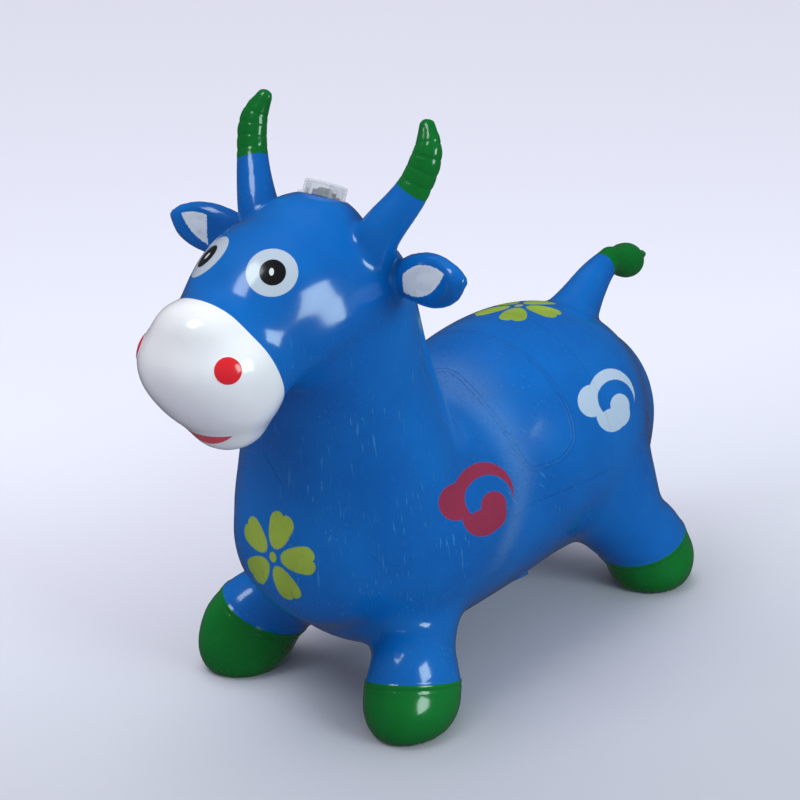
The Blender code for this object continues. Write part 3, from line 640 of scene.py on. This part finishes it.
def cow_skin():
    """The moulded skin, with its soles cut level, its relief, the module's pocket and the valve's hole."""
    large = [form("torso", TORSO), form("neck", NECK), form("muzzle", MUZZLE)]
    large.append(form("face", FACE, squareness=FACE_SQUARENESS))
    large += both("front_leg", FRONT_LEG) + both("rear_leg", REAR_LEG)
    body = fused("body", large, LARGE_GRAIN, LARGE_ROUNDING)
    ease_folds(body, FOLDS)
    small = [body, form("tail", TAIL), form("tuft", TUFT)]
    small += both("horn", HORN, ALONG) + both("ear", EAR, UPWARD)
    skin = fused("cow_skin", small, SMALL_GRAIN, SMALL_ROUNDING)

    places = points_of(skin)
    wide = np.abs(places[:, 0])
    broad = 1 - soft_step(places[:, 2], 0.425, 0.445) * soft_step(wide, 0.035, 0.050)
    broad *= 1 - soft_step(wide, 0.080, 0.092) * soft_step(places[:, 2], 0.365, 0.380)
    broad *= 1 - soft_step(places[:, 1], 0.225, 0.245) * soft_step(places[:, 2], 0.23, 0.25)
    smooth_where(skin, broad, BROAD_ROUNDING)

    choose(skin)
    bpy.ops.object.mode_set(mode="EDIT")
    bpy.ops.mesh.select_all(action="SELECT")
    bpy.ops.mesh.bisect(plane_co=(0, 0, 0), plane_no=(0, 0, 1), use_fill=True, clear_inner=True)
    bpy.ops.object.mode_set(mode="OBJECT")

    horn_relief(skin)
    cheek_relief(skin)
    thigh_relief(skin)
    ease_folds(skin, FINE_FOLDS)
    ear_relief(skin)
    hoof_relief(skin)
    muzzle_relief(skin)
    for cut in SKIN_CUTS:
        cut_with(skin, round_cutter(*cut))
    saddle_attribute(skin)
    choose(skin)
    bpy.ops.object.shade_smooth_by_angle(angle=math.radians(42))
    return skin


def valve_boss():
    """The round boss of the air valve, with a collar round its hole and a soft outer edge."""
    bpy.ops.object.select_all(action="DESELECT")
    turn = UPWARD.rotation_difference(VALVE_AXIS).to_euler()
    middle = VALVE_PLACE - VALVE_AXIS * BOSS_SINK
    bpy.ops.mesh.primitive_cylinder_add(
        vertices=CUTTER_SIDES, radius=BOSS_RADIUS, depth=BOSS_HEIGHT, location=middle, rotation=turn
    )
    boss = bpy.context.object
    boss.name = "valve_boss"
    bpy.ops.object.transform_apply(location=True, rotation=True, scale=True)
    bpy.ops.object.mode_set(mode="EDIT")
    bm = bmesh.from_edit_mesh(boss.data)
    bpy.ops.mesh.select_all(action="DESELECT")
    bpy.ops.mesh.select_mode(type="FACE")
    for face in bm.faces:
        face.select = face.normal.dot(VALVE_AXIS) > 0.9
    bmesh.update_edit_mesh(boss.data)
    bpy.ops.mesh.inset(thickness=BOSS_RADIUS - COLLAR_BORE)
    bpy.ops.mesh.extrude_region_move(TRANSFORM_OT_translate={"value": VALVE_AXIS * -COLLAR_HEIGHT})
    bpy.ops.mesh.inset(thickness=COLLAR_BORE - PLUG_BORE)
    bpy.ops.mesh.extrude_region_move(TRANSFORM_OT_translate={"value": VALVE_AXIS * -PLUG_DEPTH})
    bpy.ops.object.mode_set(mode="OBJECT")
    sharp = math.radians(50)
    apply_modifier(boss, "BEVEL", width=BOSS_EDGE, segments=3, limit_method="ANGLE", angle_limit=sharp)
    choose(boss)
    bpy.ops.object.shade_smooth_by_angle(angle=math.radians(35))
    return boss


class Shade:
    """A socket that gives a number: arithmetic on it adds Math nodes."""

    def __init__(self, finish, socket):
        self.finish = finish
        self.socket = socket

    def math(self, operation, *others, **settings):
        values = {0: self}
        for number, other in enumerate(others, 1):
            values[number] = other
        return self.finish.node("ShaderNodeMath", {"operation": operation, **settings}, values).out()

    def reversed(self, operation, other):
        return self.finish.node("ShaderNodeMath", {"operation": operation}, {0: other, 1: self}).out()

    def __add__(self, other):
        return self.math("ADD", other)

    __radd__ = __add__

    def __sub__(self, other):
        return self.math("SUBTRACT", other)

    def __rsub__(self, other):
        return self.reversed("SUBTRACT", other)

    def __mul__(self, other):
        return self.math("MULTIPLY", other)

    __rmul__ = __mul__

    def __truediv__(self, other):
        return self.math("DIVIDE", other)

    def __rtruediv__(self, other):
        return self.reversed("DIVIDE", other)

    def __neg__(self):
        return self.math("MULTIPLY", -1.0)

    def __abs__(self):
        return self.math("ABSOLUTE")

    def __or__(self, other):
        return self.math("MAXIMUM", other)

    def __and__(self, other):
        return self.math("MINIMUM", other)

    def clamped(self):
        return self.math("MULTIPLY", 1.0, use_clamp=True)

    def edge(self, softness):
        """1 where the number is above nothing and 0 below, with a soft edge."""
        return (self / softness + 0.5).clamped()

    def step(self, low, high):
        values = {"Value": self, "From Min": low, "From Max": high}
        return self.finish.node("ShaderNodeMapRange", {"interpolation_type": "SMOOTHSTEP"}, values).out()


class Placed:
    """A node of a finish, whose outputs are taken by name."""

    def __init__(self, finish, node):
        self.finish = finish
        self.node = node

    def out(self, name=0):
        return Shade(self.finish, self.node.outputs[name])


class Finish:
    """A material under construction, with one Principled shader."""

    def __init__(self, name, **constants):
        self.material = bpy.data.materials.new(name)
        self.material.use_nodes = True
        self.tree = self.material.node_tree
        self.shader = self.tree.nodes["Principled BSDF"]
        for socket, value in constants.items():
            self.shader.inputs[socket.replace("_", " ")].default_value = value

    def node(self, kind, settings=None, values=None):
        node = self.tree.nodes.new(kind)
        for name, value in (settings or {}).items():
            setattr(node, name, value)
        for name, value in (values or {}).items():
            self.give(node.inputs[name], value)
        return Placed(self, node)

    def give(self, socket, value):
        if isinstance(value, Shade):
            self.tree.links.new(value.socket, socket)
        else:
            socket.default_value = value

    def feed(self, name, value):
        self.give(self.shader.inputs[name], value)

    def object_place(self):
        return self.node("ShaderNodeTexCoord").out("Object")

    def parts(self, vector):
        split = self.node("ShaderNodeSeparateXYZ", {}, {0: vector})
        return split.out("X"), split.out("Y"), split.out("Z")

    def stretched(self, vector, size, turn=(0.0, 0.0, 0.0)):
        """A pattern's coordinates, for a pattern of that size along its own turned axes."""
        values = {"Vector": vector, "Scale": size, "Rotation": turn}
        return self.node("ShaderNodeMapping", {"vector_type": "TEXTURE"}, values).out()

    def noise(self, vector, scale, detail=2.0, roughness=0.5, distortion=0.0):
        values = {"Vector": vector, "Scale": scale, "Detail": detail, "Roughness": roughness}
        values["Distortion"] = distortion
        return self.node("ShaderNodeTexNoise", {}, values).out(0)

    def paint(self, under, over, mask):
        """Colour over on colour under, where the mask is 1."""
        values = {0: mask, 6: under, 7: over}
        return self.node("ShaderNodeMix", {"data_type": "RGBA", "clamp_factor": True}, values).out(2)

    def bump(self, height, distance, before=None):
        values = {"Height": height, "Distance": distance, "Strength": 1.0}
        if before is not None:
            values["Normal"] = before
        return self.node("ShaderNodeBump", {}, values).out()


def linear(red, green, blue):
    """A colour as it looks on a screen, 0 to 255, for a shader."""
    levels = []
    for value in (red, green, blue):
        value /= 255
        levels.append(value / 12.92 if value <= 0.04045 else ((value + 0.055) / 1.055) ** 2.4)
    return (*levels, 1.0)


def disc(u, v, middle_u, middle_v, radius):
    """Distance inside a circle's edge; less than nothing outside."""
    across = u - middle_u
    upright = v - middle_v
    return radius - (across * across + upright * upright).math("SQRT")


def along(parts, place, direction):
    """How far the place of the surface is from another place, along a direction."""
    x, y, z = parts
    total = (x - place[0]) * direction[0] + (y - place[1]) * direction[1]
    if direction[2]:
        total = total + (z - place[2]) * direction[2]
    return total


def flower(u, v, turned):
    """Five notched petals round a dot; u and v in units of about a millimetre from the middle."""
    reach = (u * u + v * v).math("SQRT")
    angle = v.math("ARCTAN2", u) - math.radians(turned - 36)
    folded = angle.math("FLOORED_MODULO", math.radians(72)) - math.radians(36)
    out = reach * folded.math("COSINE")
    side = abs(reach * folded.math("SINE"))
    inner = ((31.5 - out) / 23.5 | 0.0).math("POWER", 1.8)
    outer = (out - 31.5) / 9.1 | 0.0
    across = (side / 12.2).math("POWER", 2.0)
    notch = (side / -3.0).math("EXPONENT") * (outer * 2.0).clamped() * 0.62
    petal = (1 - across - inner - outer * outer - notch) * 5.0
    dot = disc(u * 1.25, v, 0.0, 0.0, 4.6)
    return petal | dot


def swirl(u, v):
    """A curled cloud of lobes with one long arm, drawn about its middle in the swirl's own units."""
    arm = disc(u, v, 7.5, 4.6, 32.2) & -disc(u, v, 12.5, -2.6, 26.6)
    lobes = disc(u, v, -20.5, -1.0, 18.6) | disc(u, v, 6.0, -16.0, 21.0) | disc(u, v, 15.0, -15.0, 17.0)
    gap = disc(u, v, 10.0, 2.5, 22.5) & -disc(u, v, 8.0, -30.0, 20.5)
    curl = disc(u, v, 18.0, -6.0, 13.5)
    return arm | (lobes & -gap) | curl


def green_masks(x, y, z, fine):
    """Where the hooves are, and where all the green is: hooves, horn tips and tail tuft."""
    front = (REAR_START - y).edge(0.01)
    left = x.edge(0.01)
    front_height = left * above_line(x, y, z, LEFT_HOOF) + (1 - left) * above_line(x, y, z, RIGHT_HOOF)
    height = front * front_height + (1 - front) * above_line(x, y, z, REAR_HOOF)
    hooves = (fine - height).edge(0.0006) * (0.085 - z).edge(0.002)
    horn_edge = abs(x) * 0.42 + y * 0.3 + z * 0.85 - 0.398
    horns = (horn_edge + fine).edge(0.0006) * (z - 0.45).edge(0.002)
    tail_edge = y * 0.985 + z * 0.17 - 0.3194
    tail = (tail_edge + fine).edge(0.0006) * (y - 0.2).edge(0.002)
    return hooves, hooves | horns | tail


def muzzle_masks(x, y, z, fine):
    """Where the white muzzle is, and the nostrils and the mouth on it."""
    muzzle_edge = -0.1195 - y - z * 0.45
    muzzle = (muzzle_edge + fine * 0.6).edge(0.0005) * (z - 0.25).edge(0.002)
    squares = 0.0
    for value, middle in zip((abs(x), y, z), NOSTRIL_PLACE):
        step = value - middle
        squares = step * step + squares
    nostrils = (NOSTRIL_RADIUS - squares.math("SQRT") + fine * 0.4).edge(0.0004)
    smile = x * x
    mouth_edge = (0.2955 + smile * 3.0 - z) & (z - 0.2852 - smile * 14.5)
    mouth = (mouth_edge + fine * 0.4).edge(0.0005) * (-0.27 - y).edge(0.002) * (z - 0.26).edge(0.002)
    return muzzle, nostrils, mouth


def eye_masks(folded, fine):
    """Where the whites of the eyes are, and the pupils and glints in them."""
    u = along(folded, EYE_PLACE, VIEW_RIGHT)
    v = along(folded, EYE_PLACE, VIEW_UP)
    on_face = (-0.2 - folded[1]).edge(0.002) * (folded[2] - 0.38).edge(0.002)
    white = (disc(u / EYE_STRETCH, v, 0.0, 0.0, EYE_RADIUS) + fine * 0.3).edge(0.0004) * on_face
    pupil = (disc(u, v, 0.0006, 0.0, PUPIL_RADIUS) + fine * 0.3).edge(0.0004) * on_face
    glint = disc(u / GLINT_STRETCH, v, -0.0004, 0.0005, GLINT_RADIUS).edge(0.0004) * on_face
    return white, pupil, glint


def ear_mask(x, y, z, ragged):
    """Where the pale patches in the ears are; the right one starts further out."""
    wide = abs(x)
    u = (wide - 0.119) * 0.9135 + (z - 0.4135) * 0.4067
    v = (z - 0.4135) * 0.9135 - (wide - 0.119) * 0.4067
    edge = disc(u, v, -0.005, -0.0338, 0.0463) & disc(u, v, -0.005, 0.0338, 0.0463)
    edge = edge & (wide - 0.094 - (-x).edge(0.01) * 0.024)
    return (edge + ragged * 0.0022).edge(0.0006) * (-0.139 - y).edge(0.004) * (z - 0.36).edge(0.002)


def flower_mask(x, y, z, ragged):
    """Where the flowers on the chest and on the rump are."""
    middle_x, middle_z, units_x, units_z = CHEST_FLOWER
    chest = flower((x - middle_x) * units_x, (z - middle_z) * units_z, 80)
    chest = (chest + ragged * 0.8).edge(0.6) * (-0.12 - y).edge(0.002)
    middle_x, middle_y, units_x, units_y = RUMP_FLOWER
    rump = flower((x - middle_x) * units_x, (y - middle_y) * units_y, 10)
    rump = (rump + ragged * 0.8).edge(0.6) * (z - 0.22).edge(0.002)
    return chest | rump


def swirl_mask(folded, place, unit, ragged):
    """Where a swirl is, on both flanks."""
    u = along(folded, place, VIEW_RIGHT) / unit[0]
    v = along(folded, place, VIEW_UP) / unit[1]
    return (swirl(u, v) + ragged * 0.9).edge(0.8) * (folded[0] - 0.04).edge(0.002)


def chest_fold(x, y, z):
    """A short slanted fold in the chest, sharp on one side."""
    beside = (x + z - 0.22) * 0.7071
    window = (1 - abs(x - z + 0.227) * 0.7071 / 0.036).clamped() * (-0.12 - y).edge(0.01)
    return beside.edge(0.0014) * ((beside | 0.0) / -0.009).math("EXPONENT") * window


def vinyl_finish():
    """Glossy blue vinyl with its printed face, hooves, tips and ornaments, with painted sheen along the
    neck's fold and painted highlights on its wrinkles.
    """
    finish = Finish("blue_vinyl", Coat_Roughness=0.13, Specular_IOR_Level=0.1)
    place = finish.object_place()
    x, y, z = finish.parts(place)
    folded = (abs(x), y, z)
    ragged = finish.noise(place, 420.0, 3.0, 0.6) - 0.5
    fine = ragged * 0.0011
    patches = finish.noise(place, 9.0, 3.0, 0.55)
    specks = finish.noise(place, 160.0, 2.0, 0.6)
    patchy = patches.step(0.3, 0.7)
    worn = specks.step(0.6, 0.85)

    hooves, greens = green_masks(x, y, z, fine)
    muzzle, nostrils, mouth = muzzle_masks(x, y, z, fine)
    eye_white, pupil, glint = eye_masks(folded, fine)
    ears = ear_mask(x, y, z, ragged)
    flowers = flower_mask(x, y, z, ragged)
    red_swirl = swirl_mask(folded, RED_SWIRL_PLACE, RED_SWIRL_UNIT, ragged)
    white_swirl = swirl_mask(folded, WHITE_SWIRL_PLACE, WHITE_SWIRL_UNIT, ragged)

    upright = finish.stretched(place, (0.0020, 0.0020, 0.026), (0.08, -0.05, 0.0))
    slanted = finish.stretched(place, (0.0020, 0.0020, 0.030), (0.62, -0.2, 0.0))
    upright = finish.noise(upright, 1.0, 1.5, 0.5, 0.5)
    slanted = finish.noise(slanted, 1.0, 1.5, 0.5, 0.5)
    forward = (-0.075 - y).edge(0.05)
    # Short wrinkle strokes: they shape the relief, and their lighter colour is a painted highlight.
    highlit_strokes = (forward * upright + (1 - forward) * slanted).step(0.63, 0.69)
    wrinkled = (0.40 - z).step(0.0, 0.06) * finish.noise(place, 14.0, 2.0, 0.5).step(0.36, 0.60)
    wrinkled = wrinkled * (1 - muzzle) * (1 - hooves) * (1 - (y - 0.02).step(0.0, 0.08) * 0.7)
    highlit_strokes = highlit_strokes * wrinkled
    # A pale band along the fold between neck and back: painted sheen, a reflection painted into the colour.
    # The same band also places slanted wrinkles in the relief.
    rise = z - 0.183
    beside = (y + 0.004 - rise * 0.84 + (rise | 0.0) * 0.58) / 0.017
    painted_sheen_fold = (-(beside * beside)).math("EXPONENT") * (z - 0.105).step(0.0, 0.04) * (0.35 + slanted * 1.1)

    colour = finish.paint(linear(5, 87, 165), linear(8, 99, 179), patchy)
    green = finish.paint(linear(6, 96, 34), linear(14, 112, 46), patchy)
    lime = finish.paint(linear(122, 146, 52), linear(150, 172, 66), patchy)
    white = finish.paint(linear(215, 214, 219), linear(229, 228, 233), patchy)
    layers = (
        (linear(24, 112, 198), specks.step(0.62, 0.8) * 0.25),
        # painted highlight along the wrinkle strokes
        (linear(52, 132, 208), highlit_strokes * 0.6),
        # painted sheen along the neck's fold
        (linear(112, 152, 198), painted_sheen_fold * 0.27),
        (green, greens),
        (lime, flowers),
        (linear(142, 42, 66), red_swirl * (0.97 - worn * 0.12)),
        (linear(169, 185, 205), white_swirl * (0.97 - worn * 0.12)),
        (linear(204, 211, 219), ears * (0.97 - specks.step(0.55, 0.8) * 0.18)),
        (white, muzzle),
        (linear(214, 34, 44), nostrils),
        (linear(208, 72, 88), mouth),
        (linear(170, 181, 195), eye_white),
        (linear(20, 20, 22), pupil),
        (linear(205, 208, 210), glint),
    )
    for layer, mask in layers:
        colour = finish.paint(colour, layer, mask)
    finish.feed("Base Color", colour)

    printed = (flowers | red_swirl) | (white_swirl | ears)
    finish.feed("Roughness", 0.24 + patches * 0.08 + printed * 0.16 + worn * 0.12)
    finish.feed("Coat Weight", 1.0 - printed * 0.75)

    skin_grain = finish.noise(place, 900.0, 2.0, 0.6)
    waves = finish.noise(place, 55.0, 2.0, 0.45)
    cheek_gap = abs(y + 0.222) / 0.055 + abs(z - 0.372 - (y + 0.222) * CHEEK_SLOPE) / 0.03
    scuffs = finish.noise(place, 230.0, 2.0, 0.5) * (1 - cheek_gap).clamped()
    height = highlit_strokes + skin_grain * 0.03 + waves * 0.14 + scuffs * 1.1
    height = height + painted_sheen_fold * slanted * 1.2 - chest_fold(x, y, z) * 3.2
    normal = finish.bump(height, 0.00055)
    line = finish.node("ShaderNodeAttribute", {"attribute_name": "saddle_line"}).out("Fac")
    doubled = (abs(line) - RIDGE_OFFSET) / RIDGE_WIDTH
    ridge = (-(doubled * doubled)).math("EXPONENT")
    finish.feed("Normal", finish.bump(ridge, RIDGE_HEIGHT, normal))
    return finish.material


def plastic_finish(name, light, dark, roughness, grain=400.0, relief=0.00004, **constants):
    """Moulded plastic or rubber with slight changes of colour, gloss and surface."""
    finish = Finish(name, **constants)
    place = finish.object_place()
    cloud = finish.noise(place, 120.0, 3.0, 0.6)
    finish.feed("Base Color", finish.paint(dark, light, cloud.step(0.3, 0.7)))
    finish.feed("Roughness", roughness + (cloud - 0.5) * 0.12)
    finish.feed("Normal", finish.bump(finish.noise(place, grain, 2.0, 0.6), relief))
    return finish.material


def metal_finish(name, light, dark, roughness, drawn=(0.0033, 0.0033, 0.0004)):
    """Plated sheet or bar with fine drawn lines."""
    finish = Finish(name, Metallic=1.0)
    place = finish.object_place()
    lines = finish.noise(finish.stretched(place, drawn), 1.0, 3.0, 0.6)
    cloud = finish.noise(place, 250.0, 3.0, 0.6)
    finish.feed("Base Color", finish.paint(dark, light, cloud.step(0.25, 0.75)))
    finish.feed("Roughness", roughness + (lines - 0.5) * 0.16)
    finish.feed("Normal", finish.bump(lines, 0.00002))
    return finish.material


def dress(node, material):
    """Gives a CAD node its finish."""
    piece = frame["nodes"][node]
    meshes = [piece]
    if piece.type != "MESH":
        meshes = [part for part in piece.children_recursive if part.type == "MESH"]
    for mesh in meshes:
        mesh.data.materials.clear()
        mesh.data.materials.append(material)


def dress_module():
    """The finishes of the module's pieces and of the plug."""
    clear = plastic_finish(
        "clear_plastic", linear(212, 215, 220), linear(196, 200, 206), 0.12, 260.0, 0.00003, Alpha=0.22,
    )
    zinc = metal_finish("screw_steel", linear(205, 205, 208), linear(170, 171, 176), 0.32)
    plated = metal_finish("plated_contact", linear(226, 220, 204), linear(196, 190, 172), 0.28)
    steel = metal_finish("cell_steel", linear(222, 222, 224), linear(188, 189, 192), 0.22)
    black = plastic_finish("black_plastic", linear(30, 31, 35), linear(16, 16, 19), 0.5, 900.0)
    white = plastic_finish("white_plug", linear(228, 230, 234), linear(208, 211, 217), 0.36, 600.0, 0.00006)
    for number in (1, 2, 3):
        dress(f"case_screw_{number}", zinc)
        dress(f"button_cell_{number}", steel)
    dress("module_cover", clear)
    dress("module_base", plastic_finish("grey_plastic", linear(196, 198, 202), linear(178, 181, 186), 0.42))
    dress("circuit_board", plastic_finish("board_green", linear(30, 120, 62), linear(14, 84, 40), 0.4, 900.0))
    dress("battery_holder", black)
    dress("contact_positive", plated)
    dress("contact_negative", plated)
    lamp = {"Transmission_Weight": 0.5, "IOR": 1.5}
    dress("led_red", plastic_finish("lens_red", linear(225, 40, 40), linear(190, 18, 22), 0.15, **lamp))
    dress("led_green", plastic_finish("lens_green", linear(50, 205, 80), linear(26, 165, 52), 0.15, **lamp))
    dress("led_blue", plastic_finish("lens_blue", linear(50, 90, 225), linear(26, 58, 190), 0.15, **lamp))
    dress("sound_chip", plastic_finish("black_resin", linear(30, 30, 33), linear(14, 14, 16), 0.35, 700.0))
    dress("bounce_switch", metal_finish("switch_can", linear(212, 208, 196), linear(180, 176, 164), 0.3))
    dress("buzzer_disc", metal_finish("buzzer_brass", linear(226, 190, 116), linear(196, 156, 84), 0.3))
    dress("buzzer_wire_red", plastic_finish("wire_red", linear(190, 30, 32), linear(150, 16, 20), 0.5))
    dress("buzzer_wire_black", plastic_finish("wire_black", linear(36, 36, 38), linear(18, 18, 20), 0.5))
    dress("air_plug", white)


def floor():
    """A wide pale floor, with painted shade that darkens it towards the near right of the view."""
    bpy.ops.object.select_all(action="DESELECT")
    bpy.ops.mesh.primitive_plane_add(size=FLOOR_WIDTH, location=(0, 0, -0.0003))
    sheet = bpy.context.object
    sheet.name = "studio_floor"
    finish = Finish("studio_floor", Roughness=0.55, Specular_IOR_Level=0.25)
    place = finish.object_place()
    x, y, _ = finish.parts(place)
    cloud = finish.noise(place, 1.2, 3.0, 0.5) * 0.1
    # Painted shade: the floor's colour darkens towards the camera and to the right, where less light falls,
    # with a faint random cloud.
    depth = (y * 0.56 - x * 1.1 + cloud).step(-0.62, 1.0)
    finish.feed("Base Color", finish.paint(linear(170, 170, 180), linear(225, 226, 239), depth))
    sheet.data.materials.append(finish.material)
    sheet.visible_glossy = False


def backdrop():
    """A pale paper backdrop far round the floor, which only closes the view."""
    bpy.ops.object.select_all(action="DESELECT")
    middle = (0, 0, BACKDROP_MIDDLE)
    bpy.ops.mesh.primitive_cylinder_add(
        vertices=128, radius=BACKDROP_RADIUS, depth=BACKDROP_HEIGHT, end_fill_type="NOTHING", location=middle
    )
    paper = bpy.context.object
    paper.name = "studio_backdrop"
    pale = {"Emission_Color": linear(245, 247, 255), "Emission_Strength": 0.74}
    finish = Finish("studio_backdrop", Base_Color=linear(22, 22, 24), Roughness=0.9, **pale)
    paper.data.materials.append(finish.material)
    paper.visible_glossy = False
    paper.visible_diffuse = False
    paper.visible_shadow = False


def soft_light(name, place, aim, size, power, colour):
    """A softbox of that size, turned to its aim."""
    data = bpy.data.lights.new(name, "AREA")
    data.shape = "RECTANGLE"
    data.size, data.size_y = size
    data.energy = power
    data.color = colour
    lamp = bpy.data.objects.new(name, data)
    bpy.context.collection.objects.link(lamp)
    lamp.location = place
    lamp.rotation_euler = (Vector(aim) - Vector(place)).to_track_quat("-Z", "Y").to_euler()


def distant_light(name, toward, angle, strength, colour):
    """An even light from far off, as from a bank of lamps of that angle across."""
    data = bpy.data.lights.new(name, "SUN")
    data.angle = math.radians(angle)
    data.energy = strength
    data.color = colour
    lamp = bpy.data.objects.new(name, data)
    bpy.context.collection.objects.link(lamp)
    lamp.rotation_euler = Vector(toward).to_track_quat("Z", "Y").to_euler()
    lamp.visible_glossy = False


def studio():
    """Two softboxes, the light from above and a faint glow all round."""
    world = bpy.data.worlds.new("studio_air")
    bpy.context.scene.world = world
    world.use_nodes = True
    air = world.node_tree.nodes["Background"]
    air.inputs["Color"].default_value = (0.80, 0.84, 1.0, 1.0)
    air.inputs["Strength"].default_value = 0.06
    soft_light(
        "left_softbox", place=(-0.46, -1.2, 2.2), aim=(0, -0.1, 0.25),
        size=(0.7, 0.9), power=13, colour=(0.90, 1.0, 1.0),
    )
    soft_light(
        "right_softbox", place=(1.9, -0.08, 1.12), aim=(0, 0, 0.25),
        size=(0.85, 0.9), power=20, colour=(0.80, 1.0, 0.98),
    )
    distant_light("ceiling", toward=(-0.32, 0.02, 0.95), angle=50, strength=1.42, colour=(1.0, 0.945, 0.965))
    distant_light("sky", toward=(0.2, -0.12, 0.97), angle=170, strength=1.95, colour=(0.93, 0.96, 1.0))
    bpy.context.scene.view_settings.view_transform = "Standard"


def camera():
    """A camera at the photograph's viewing angle."""
    data = bpy.data.cameras.new("photo_camera")
    data.sensor_width = 36.0
    data.lens = CAMERA_LENS
    data.clip_end = 60.0
    viewer = bpy.data.objects.new("photo_camera", data)
    bpy.context.collection.objects.link(viewer)
    viewer.location = CAMERA_PLACE
    viewer.rotation_euler = (math.radians(CAMERA_TILT), 0.0, math.radians(CAMERA_TURN))
    bpy.context.scene.camera = viewer


camera()
floor()
backdrop()
studio()
skin = cow_skin()
boss = valve_boss()
vinyl = vinyl_finish()
for piece in (skin, boss):
    piece.data.materials.clear()
    piece.data.materials.append(vinyl)
    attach(piece, "cow")
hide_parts("body_skin")
dress_module()
